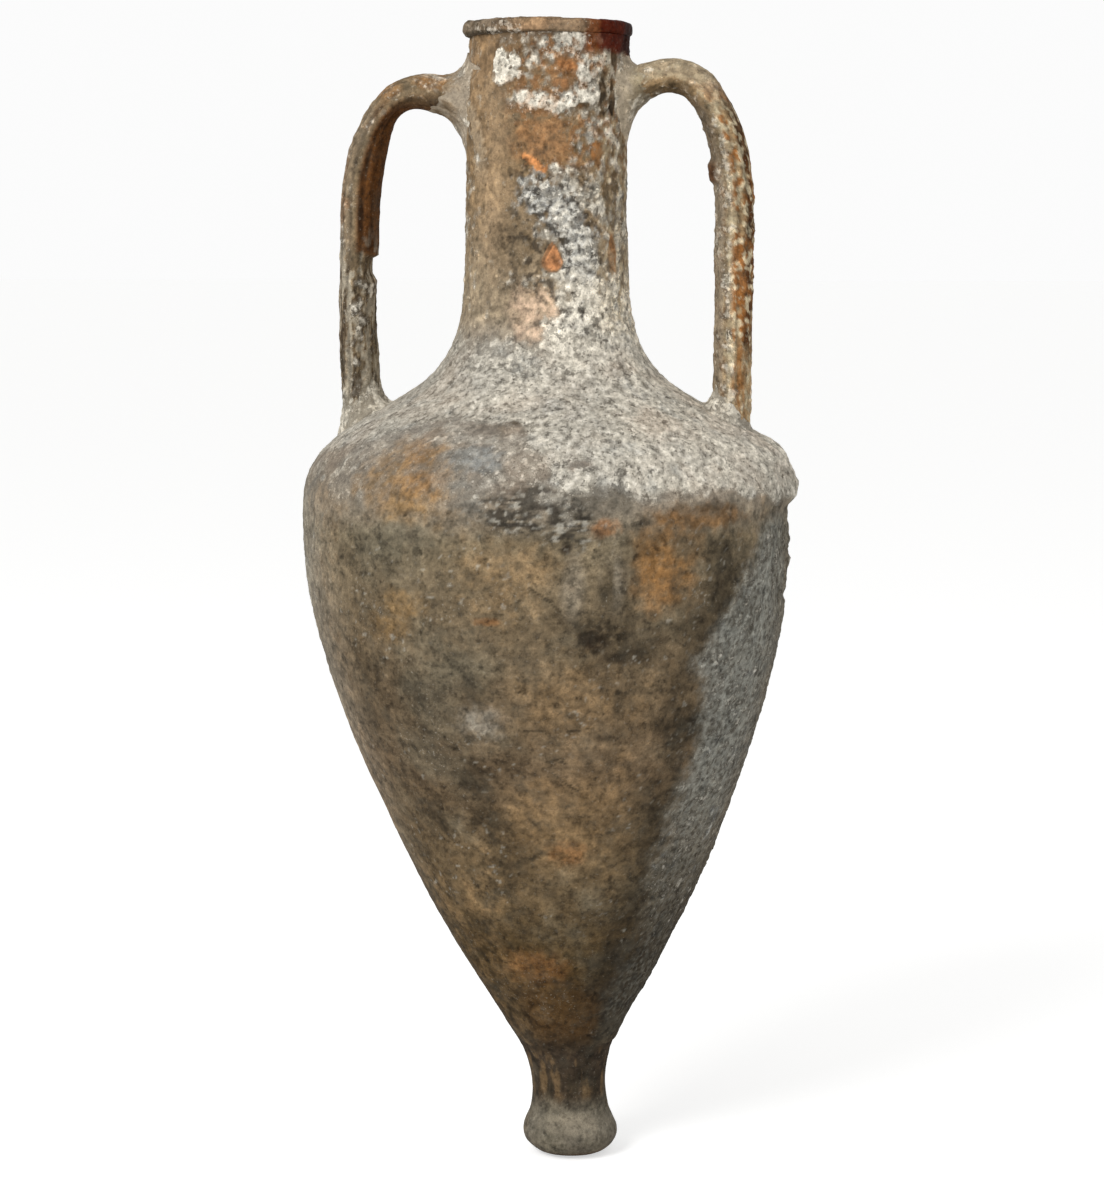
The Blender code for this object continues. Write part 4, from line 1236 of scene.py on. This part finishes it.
def colour_right_strap(skin, fields):
    """Pale edges, an ochre outer side, cream spots inside, a chip at its middle, and painted light and shade.
    Returns the crust.
    """
    z, outer, fine, on_run, on_drop = fields.z, fields.outer, fields.fine, fields.on_run, fields.on_drop
    skin.tint("958b7b", 0.7 * rise(outer, -0.25, -0.55) * on_drop)
    skin.tint("c2b394", 0.55 * rise(np.abs(outer), 0.45, 0.15) * on_drop)
    # Painted highlight: the top of the run from the neck is paler.
    skin.tint("bcae94", 0.55 * on_run * rise(outer, -0.3, 0.3))
    ochre_side = rise(outer, -0.20, 0.20) * within(z, 0.565, 0.585, 0.735, 0.768)
    blotch = ochre_side * rise(fields.middle + 0.8 * fine, -0.42, -0.08)
    skin.tint("8a5420", 0.88 * blotch)
    skin.tint("43260f", 0.85 * ochre_side * rise(outer, 0.45, 0.8) * rise(fine - fields.middle, -0.3, 0.2))
    cream_spots = rise(fbm(fields.p, 0.0055, 3, 509), 0.05, 0.32) * rise(outer, -0.6, -0.2)
    skin.tint("d2c3a2", 0.80 * cream_spots * (1 - 0.6 * on_run))
    inner_spots = rise(outer, 0.1, -0.3) * rise(z, 0.500, 0.540) * on_drop
    skin.tint("5b4128", 0.75 * inner_spots * rise(fine + 0.6 * fields.speck, 0.05, 0.35))
    foot_streak = within(outer, -0.1, 0.2, 0.6, 0.85) * within(z, 0.505, 0.515, 0.570, 0.590)
    skin.tint("8f5a24", 0.75 * foot_streak * rise(fields.length_wise, -0.3, 0.1))
    # Painted shade: darker under the run, and on the side that faces the neck below the bend.
    skin.tint(UMBER, 0.75 * rise(outer, -0.2, -0.7) * on_run)
    skin.tint(UMBER, 0.5 * rise(outer, 0.15, -0.25) * rise(z, 0.690, 0.715) * on_drop)
    skin.shade(0.14 * on_drop + 0.10 * rise(z, 0.640, 0.600))
    chip = rise(outer, -0.55, -0.80) * within(z, 0.688, 0.693, 0.702, 0.708)
    skin.tint("5f3716", 0.9 * chip)
    skin.raise_by(2.6 * chip + 2.0 * rise(outer, 0.3, 0.9) * rise(z, 0.752, 0.765))
    skin.raise_by(1.6 * rise(outer, 0.3, 0.8) * within(z, 0.600, 0.620, 0.680, 0.700) * fine)
    crust = 0.38 + 0.40 * fields.middle + 0.45 * fine + 0.25 * rise(np.abs(outer), 0.5, 0.1) * on_drop
    return crust * (1 - 0.35 * on_run) * (1 - 0.75 * blotch)


def colour_left_strap(skin, fields):
    """Tan outside, a dark inner side above the notch, part stain and part painted shadow, dark and pale
    streaks below, and painted shade under the run. Returns the crust.
    """
    z, outer, fine, on_run, middle = fields.z, fields.outer, fields.fine, fields.on_run, fields.middle
    skin.tint("94826a", 0.75 * rise(outer, 0.05, 0.40) * fields.on_drop)
    skin.tint("8a5a34", 0.40 * rise(outer, 0.0, 0.3) * rise(z, 0.640, 0.670) * rise(middle, -0.1, 0.3))
    # The side facing the neck: a brown stain, darkened further as painted shadow of the neck.
    dark = rise(outer, 0.15, -0.25) * rise(z + 0.003 * fine, 0.638, 0.644) * (1 - 0.7 * on_run)
    skin.tint("5b340f", 0.92 * dark)
    core = rise(np.abs(outer + 0.28), 0.22, 0.08) * within(z, 0.645, 0.66, 0.715, 0.735)
    skin.tint("24160c", 0.75 * core * rise(fields.length_wise, -0.4, 0.1))
    skin.tint("a0784a", 0.60 * on_run * rise(outer, -0.1, 0.5) * rise(middle, -0.4, 0.3))
    # Painted shade under the run from the neck.
    skin.tint(UMBER, 0.7 * on_run * rise(outer, -0.05, -0.5))
    streaks = fields.length_wise + 0.6 * fine
    streaked = rise(z + 0.012 * streaks, 0.662, 0.622)
    skin.tint("3d3022", 0.88 * streaked * rise(streaks, 0.00, 0.16))
    skin.tint("c2b8a4", 0.70 * streaked * rise(streaks, -0.05, -0.24))
    below = rise(z, 0.641, 0.638)
    notch = 3.2 * below * rise(z, 0.622, 0.630) + 1.2 * below * rise(z, 0.56, 0.60)
    skin.raise_by(-notch * rise(outer, -0.45, -0.80))
    return (0.30 + 0.45 * middle + 0.30 * fine + 0.20 * rise(z, 0.600, 0.540)) * (1 - 0.8 * dark)


def press_grooves(skin, strap, fields, s, turn):
    """The long grooves that the potter's fingers left, fading out at the strap's ends."""
    depth = np.zeros(len(fields.p))
    wander = 5 * fbm(fields.p, 0.050, 2, 511)
    for at, deep, wide in GROOVES:
        away = (np.degrees(turn) - at + 180) % 360 - 180 + wander
        depth += deep * np.exp(-((away / wide) ** 2))
    depth *= within(s, 0.010, 0.060, strap.length - 0.060, strap.length - 0.020)
    depth *= 0.55 + 0.45 * rise(fbm(fields.p, 0.040, 2, 513), -0.4, 0.3)
    skin.raise_by(-depth)
    skin.shade(-0.38 * depth)


def strap_skin(strap, surface, s, turn):
    """The strap's clay: bands along it, painted shade under the bend, crusted in patches."""
    fields = StrapClay(surface, turn)
    skin = Skin(surface, clay("a98d68" if strap.side > 0 else "857359"), 1.30)
    colour = colour_right_strap if strap.side > 0 else colour_left_strap
    crust = colour(skin, fields)
    bend = np.exp(-(((s - strap.bend_at) / BEND_LENGTH) ** 2))
    skin.raise_by(-strap.shape["bend_thinning_mm"] * bend * rise(fields.outer, -0.1, -0.8))
    skin.shade(0.22 * fields.middle + 0.42 * fields.fine + 0.38 * fields.speck + 0.22 * fields.length_wise)
    skin.crust = np.clip(crust + 0.2 * fields.fine, 0, 1)
    press_grooves(skin, strap, fields, s, turn)
    skin.raise_by(0.5 * fbm(fields.p, 0.045, 2, 515) + 0.28 * fields.middle + 0.18 * fields.fine)
    skin.lump(521)
    thick = skin.thick()
    skin.tint(ASH, 0.45 * thick)
    skin.tint(CREAM, 0.40 * thick * rise(fbm(fields.p, 0.018, 3, 523), -0.1, 0.5))
    skin.hollows(2, 0.45)
    return skin


def strap_piece(strap):
    """A pulled handle: its strap from one contact with the wall to the other, both ends sunk in."""
    around, rings = int(112 / COARSEN), int(strap.length / (STRAP_STEP * COARSEN))
    turn = full_turn(around)
    tops, feet = strap.contacts(turn)
    start, end = tops - SUNK_END, feet + SUNK_END
    s = start + (end - start) * np.linspace(0, 1, rings)[:, None]
    turns = np.broadcast_to(turn, s.shape)
    surface = Surface(*strap.place(s, turns))
    skin = strap_skin(strap, surface, s.ravel(), turns.ravel())
    show(strap.name, surface.moved(skin.lift), around, skin, "handle_clay", capped=True)


def luting_fillet(strap, end, turn, outer_share, front):
    """The hollow fillet from the strap to the wall, and the rings behind it that are sunk in both."""
    tops, feet = strap.contacts(turn)
    contact, way = (tops, 1) if end == "top" else (feet, -1)
    sizes = LUTINGS[strap.name][end]
    uneven = 1 + 0.30 * fbm(circle(turn) * 0.03 + (0, 0, strap.side), 0.022, 3, 601 + way)
    along, spread = (
        (inner + (outer - inner) * outer_share) * uneven
        for outer, inner in (sizes["along"], sizes["spread"])
    )
    corner, facing = strap.place(contact, turn)
    lip, lip_facing = strap.place(contact + way * along, turn)
    wall_facing = wall_normal(corner)
    over = unit(facing - wall_facing * np.sum(facing * wall_facing, axis=1, keepdims=True))
    foot = on_wall(corner + over * spread[:, None])
    lip = lip - lip_facing * LIP_SUNK
    foot = foot - wall_normal(foot) * FOOT_SUNK
    q = np.linspace(0, 1, front)[:, None, None]
    fillet = (1 - q) ** 2 * lip + 2 * q * (1 - q) * corner + q**2 * foot
    behind = [
        foot - SUNK_END * wall_normal(foot),
        corner - SUNK_END * (wall_facing + facing),
        lip - SUNK_END * lip_facing,
    ]
    return Surface(fillet, unit(facing + (wall_facing - facing) * q)), behind


def luting_skin(strap, end, surface, outer_share, q):
    """The luting's clay. A top luting takes the strap's colour at its lip and painted shade under the strap,
    and a foot more crust.
    """
    p, (front, around) = surface.points, surface.shape
    skin = Skin(surface, clay(LUTINGS[strap.name][end]["colour"]), 0.90)
    fine = fbm(p, 0.008, 4, 611)
    middle = fbm(p, 0.020, 3, 613)
    skin.shade(0.22 * middle + 0.25 * fine + 0.18 * fbm(p, 0.003, 3, 615))
    skin.tint(UMBER, 0.45 * rise(middle, 0.1, 0.6))
    if end == "top":
        near_strap = rise(q, 0.62, 0.12) * rise(fine + middle, -0.6, 0.0)
        skin.tint(strap.shape["end_colour"], 0.80 * near_strap)
        # Painted shade on the luting under the strap's root.
        skin.tint(UMBER, 0.65 * near_strap * rise(np.tile(outer_share, front), 0.55, 0.20))
    skin.crust = np.clip((0.32 if end == "top" else 0.62) + 0.5 * middle + 0.25 * fine, 0, 1)
    skin.raise_by((0.9 * middle + 0.5 * fine + 0.6) * np.sin(np.pi * q) ** 0.6)
    skin.lump(621)
    thick = skin.thick()
    skin.tint(ASH, 0.5 * thick)
    skin.tint(CREAM, 0.4 * thick * rise(middle, -0.2, 0.4))
    skin.hollows(2, 0.5)
    return skin


def luting_piece(strap, end):
    """The collar of clay smeared from the strap on to the wall, with a worn edge."""
    around, front = int(150 / COARSEN), int(26 / COARSEN)
    turn = full_turn(around)
    outer_share = 0.5 + 0.5 * np.cos(turn)
    surface, behind = luting_fillet(strap, end, turn, outer_share, front)
    skin = luting_skin(strap, end, surface, outer_share, np.repeat(np.linspace(0, 1, front), around))
    points = np.concatenate([surface.moved(skin.lift), *behind])
    hidden = Skin(surface, clay(INNER_CLAY), count=len(behind) * around)
    show(f"{strap.name}_{end}_luting", points, around, skin.followed_by(hidden), "luting_clay")


# --- materials ---
class Nodes:
    """Small helpers to wire a material."""

    def __init__(self, name):
        self.material = bpy.data.materials.new(name)
        self.material.use_nodes = True
        self.tree = self.material.node_tree
        self.shader = self.tree.nodes["Principled BSDF"]
        self.place = self.new("ShaderNodeTexCoord").outputs["Object"]

    def new(self, kind, **settings):
        node = self.tree.nodes.new(kind)
        for key, value in settings.items():
            setattr(node, key, value)
        return node

    def put(self, value, socket):
        """Feeds a socket with another node's output, a colour code or a number."""
        if isinstance(value, bpy.types.NodeSocket):
            self.tree.links.new(value, socket)
        elif isinstance(value, str):
            socket.default_value = (*clay(value), 1.0)
        else:
            socket.default_value = value

    def noise(self, scale, detail=4.0, roughness=0.6, stretch=None):
        node = self.new("ShaderNodeTexNoise")
        for name, value in (("Scale", scale), ("Detail", detail), ("Roughness", roughness)):
            node.inputs[name].default_value = value
        where = self.place
        if stretch is not None:
            shift = self.new("ShaderNodeMapping")
            shift.inputs["Scale"].default_value = stretch
            self.put(where, shift.inputs["Vector"])
            where = shift.outputs["Vector"]
        self.put(where, node.inputs["Vector"])
        return node.outputs[0]

    def math(self, operation, a, b):
        node = self.new("ShaderNodeMath", operation=operation)
        self.put(a, node.inputs[0])
        self.put(b, node.inputs[1])
        return node.outputs[0]

    def times(self, a, b):
        return self.math("MULTIPLY", a, b)

    def plus(self, a, b):
        return self.math("ADD", a, b)

    def minus(self, a, b):
        return self.math("SUBTRACT", a, b)

    def span(self, value, low, high, out_low=0.0, out_high=1.0):
        node = self.new("ShaderNodeMapRange", interpolation_type="SMOOTHSTEP")
        for socket, given in zip(node.inputs, (value, low, high, out_low, out_high)):
            self.put(given, socket)
        return node.outputs[0]

    def mix(self, amount, a, b, blend="MIX"):
        node = self.new("ShaderNodeMix", data_type="RGBA", blend_type=blend)
        self.put(amount, node.inputs["Factor"])
        self.put(a, node.inputs[6])
        self.put(b, node.inputs[7])
        return node.outputs[2]

    def scaled(self, colour, value):
        """A colour multiplied by a number."""
        node = self.new("ShaderNodeCombineXYZ")
        for socket in node.inputs:
            self.put(value, socket)
        return self.mix(1.0, colour, node.outputs[0], "MULTIPLY")

    def attribute(self, name, output):
        return self.new("ShaderNodeAttribute", attribute_name=name).outputs[output]


def skin_inputs(n, plain):
    """Colour, crust, gloss and contrast: from the mesh, or fixed ones for a plain clay."""
    if plain is not None:
        return plain, 0.12, 0.0, 1.0
    fields = [n.attribute("paint", "Color")]
    return fields + [n.attribute(name, "Fac") for name in ("crust", "gloss", "contrast")]


def clay_under(n, paint, gloss, contrast, mottle, grit):
    """The bare clay: its colour with grain, dulled in clouds."""
    drift = n.noise(60.0, 4.0, 0.6)
    swing = n.plus(n.span(mottle, 0.30, 0.70, -0.37, 0.37), n.span(grit, 0.25, 0.75, -0.26, 0.26))
    colour = n.scaled(paint, n.plus(n.times(swing, contrast), 1.0))
    matt = n.minus(1.0, gloss)
    return n.mix(n.times(n.span(drift, 0.45, 0.75, 0.0, 0.30), matt), colour, "645d4f")


def crust_over(n, colour, paint, crust, contrast, mottle, grit, stretch):
    """Crust with crisp edges, dark in its gaps. Returns the colour and where it covers the clay."""
    edge = n.plus(crust, n.span(grit, 0.25, 0.75, -0.42, 0.42))
    edge = n.plus(edge, n.span(mottle, 0.3, 0.7, -0.22, 0.22))
    covered = n.span(edge, 0.42, 0.60)
    gap = n.times(n.span(edge, 0.20, 0.36), n.span(edge, 0.46, 0.38))
    colour = n.mix(n.times(gap, 0.42), colour, "3a3024")
    shade = n.noise(240.0, 6.0, 0.74, stretch)
    scale = n.mix(n.span(shade, 0.34, 0.50), "7b7466", "c2bbad")
    scale = n.mix(n.span(shade, 0.50, 0.66), scale, "f6f1e6")
    own = n.scaled(paint, n.plus(n.times(n.span(shade, 0.32, 0.68, -0.40, 0.60), contrast), 1.0))
    own = n.mix(n.times(n.span(crust, 0.45, 0.80, 0.0, 0.42), contrast), own, scale)
    return n.mix(n.times(covered, 0.90), colour, own), covered


def flecks_and_pores(n, colour, crust):
    """Pale flecks and dark pores, most of them in the crust."""
    speckle = n.noise(560.0, 2.0, 0.5)
    fleck = n.times(n.span(speckle, 0.63, 0.70), n.plus(n.times(crust, 0.9), 0.03))
    colour = n.mix(n.math("MINIMUM", fleck, 0.85), colour, "ded6c5")
    pore = n.times(n.span(speckle, 0.36, 0.28), n.plus(n.times(crust, 0.6), 0.25))
    return n.mix(n.math("MINIMUM", pore, 0.75), colour, "2f271c"), fleck, pore


def grain_bump(n, covered, mottle, grit, fleck, pore):
    """The grain as relief finer than the mesh."""
    height = n.plus(n.times(covered, 0.55), n.times(grit, 0.8))
    height = n.plus(height, n.times(mottle, 0.7))
    height = n.plus(height, n.times(fleck, 0.5))
    height = n.minus(height, n.times(pore, 0.9))
    bump = n.new("ShaderNodeBump")
    bump.inputs["Strength"].default_value = BUMP_STRENGTH
    bump.inputs["Distance"].default_value = BUMP_DEPTH
    n.put(height, bump.inputs["Height"])
    n.put(bump.outputs["Normal"], n.shader.inputs["Normal"])


def clay_material(name, roughness, stretch=None, plain=None):
    """Fired clay with sea crust. The broad colour and crust come with the mesh; the grain is made here."""
    n = Nodes(name)
    paint, crust, gloss, contrast = skin_inputs(n, plain)
    mottle = n.noise(125.0, 7.0, 0.70, stretch)
    grit = n.noise(290.0, 5.0, 0.68, stretch)
    colour = clay_under(n, paint, gloss, contrast, mottle, grit)
    colour, covered = crust_over(n, colour, paint, crust, contrast, mottle, grit, stretch)
    colour, fleck, pore = flecks_and_pores(n, colour, crust)
    n.put(colour, n.shader.inputs["Base Color"])
    rough = n.span(mottle, 0.3, 0.7, roughness - 0.08, min(1.0, roughness + 0.06))
    n.put(n.minus(rough, n.times(gloss, 0.45)), n.shader.inputs["Roughness"])
    n.put(n.minus(0.12, n.times(gloss, 0.10)), n.shader.inputs["Specular IOR Level"])
    grain_bump(n, covered, mottle, grit, fleck, pore)
    return n.material


# --- the jar ---
WALL_STRETCH = (1.0, 0.7, 1.0)
# (name, roughness, stretch of the grain)
CLAYS = (
    ("rim_clay", 0.82, None), ("neck_clay", 0.90, WALL_STRETCH), ("shoulder_clay", 0.94, WALL_STRETCH),
    ("body_clay", 0.90, WALL_STRETCH), ("toe_clay", 0.90, WALL_STRETCH), ("handle_clay", 0.90, None),
    ("luting_clay", 0.92, None),
)
MATERIALS = {name: clay_material(name, roughness, stretch) for name, roughness, stretch in CLAYS}
hidden_clay = clay_material("inner_clay", 0.92, plain=INNER_CLAY)

rim_piece()
wall_piece("neck", SEAMS["rim"], SEAMS["neck"], 480, "neck_clay")
wall_piece("shoulder", SEAMS["neck"], SEAMS["shoulder"], 720, "shoulder_clay")
wall_piece("upper_body", SEAMS["shoulder"], SEAMS["belly"], 720, "body_clay")
wall_piece("lower_body", SEAMS["belly"], SEAMS["toe"], 520, "body_clay")
toe_piece()
for handle_name in STRAPS:
    handle = Strap(handle_name)
    strap_piece(handle)
    for luting_end in LUTINGS[handle_name]:
        luting_piece(handle, luting_end)

for kept_name in ("base_plug", "neck_seam_coil", "shoulder_seam_coil", "belly_seam_coil"):
    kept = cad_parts[kept_name]
    kept.data.materials.clear()
    kept.data.materials.append(hidden_clay)


# --- floor, light and camera ---
RIGHT = Vector((math.cos(FRONT_TURN), math.sin(FRONT_TURN), 0))
TOWARDS_CAMERA = Vector((math.sin(FRONT_TURN), -math.cos(FRONT_TURN), 0))
UP = Vector((0, 0, 1))
HALF_FLOOR = 60.0
PAPER = (0.80, 0.80, 0.79, 1)
PAPER_LIFT = 0.54
WORLD_LIGHT = 0.52
WORLD_SEEN = 0.97


def seen_from(right, front, up):
    return Vector((NECK_X, 0, 0)) + RIGHT * right + TOWARDS_CAMERA * front + UP * up


def brighten_for_camera(material, amount):
    """Lifts a stage surface towards white where the camera sees it, without lighting the jar."""
    tree = material.node_tree
    path = tree.nodes.new("ShaderNodeLightPath")
    lift = tree.nodes.new("ShaderNodeMath")
    lift.operation = "MULTIPLY"
    lift.inputs[1].default_value = amount
    tree.links.new(path.outputs["Is Camera Ray"], lift.inputs[0])
    shader = tree.nodes["Principled BSDF"]
    shader.inputs["Emission Color"].default_value = (1, 1, 1, 1)
    tree.links.new(lift.outputs[0], shader.inputs["Emission Strength"])


def floor_paper():
    material = bpy.data.materials.new("floor_paper")
    material.use_nodes = True
    shader = material.node_tree.nodes["Principled BSDF"]
    shader.inputs["Base Color"].default_value = PAPER
    shader.inputs["Roughness"].default_value = 0.95
    brighten_for_camera(material, PAPER_LIFT)
    return material


def build_floor():
    mesh = bpy.data.meshes.new("floor")
    corners = [(x * HALF_FLOOR, y * HALF_FLOOR, 0) for x, y in ((-1, -1), (1, -1), (1, 1), (-1, 1))]
    mesh.from_pydata(corners, [], [(0, 1, 2, 3)])
    mesh.materials.append(floor_paper())
    in_scene("floor", mesh)


def add_light(name, place, aim, size, power):
    data = bpy.data.lights.new(name, "AREA")
    data.shape = "DISK"
    data.size = size
    data.energy = power
    light = in_scene(name, data)
    light.location = place
    light.rotation_euler = (aim - place).to_track_quat("-Z", "Y").to_euler()


def build_world():
    """Even white light, and a paler backdrop where the camera sees it."""
    world = bpy.data.worlds.new("studio")
    world.use_nodes = True
    background = world.node_tree.nodes["Background"]
    background.inputs["Color"].default_value = (1.0, 1.0, 1.0, 1)
    path = world.node_tree.nodes.new("ShaderNodeLightPath")
    strength = world.node_tree.nodes.new("ShaderNodeMapRange")
    strength.inputs["To Min"].default_value = WORLD_LIGHT
    strength.inputs["To Max"].default_value = WORLD_SEEN
    world.node_tree.links.new(path.outputs["Is Camera Ray"], strength.inputs["Value"])
    world.node_tree.links.new(strength.outputs["Result"], background.inputs["Strength"])
    bpy.context.scene.world = world


def build_camera():
    data = bpy.data.cameras.new("camera")
    data.lens = CAMERA_LENS
    data.sensor_width = SENSOR
    data.sensor_fit = "AUTO"
    camera = in_scene("camera", data)
    camera.location = seen_from(CAMERA_SIDE, CAMERA_DISTANCE, CAMERA_HEIGHT)
    look = -TOWARDS_CAMERA * math.cos(CAMERA_PITCH) - UP * math.sin(CAMERA_PITCH)
    camera.rotation_euler = look.to_track_quat("-Z", "Y").to_euler()
    bpy.context.scene.camera = camera


build_floor()
build_world()
middle_of_jar = seen_from(0, 0, 0.42)
add_light("key", seen_from(-1.5, 1.9, 2.0), middle_of_jar, 1.4, 52)
add_light("fill", seen_from(1.9, 1.8, 0.9), middle_of_jar, 1.8, 10)
build_camera()
bpy.context.scene.view_settings.view_transform = "Standard"
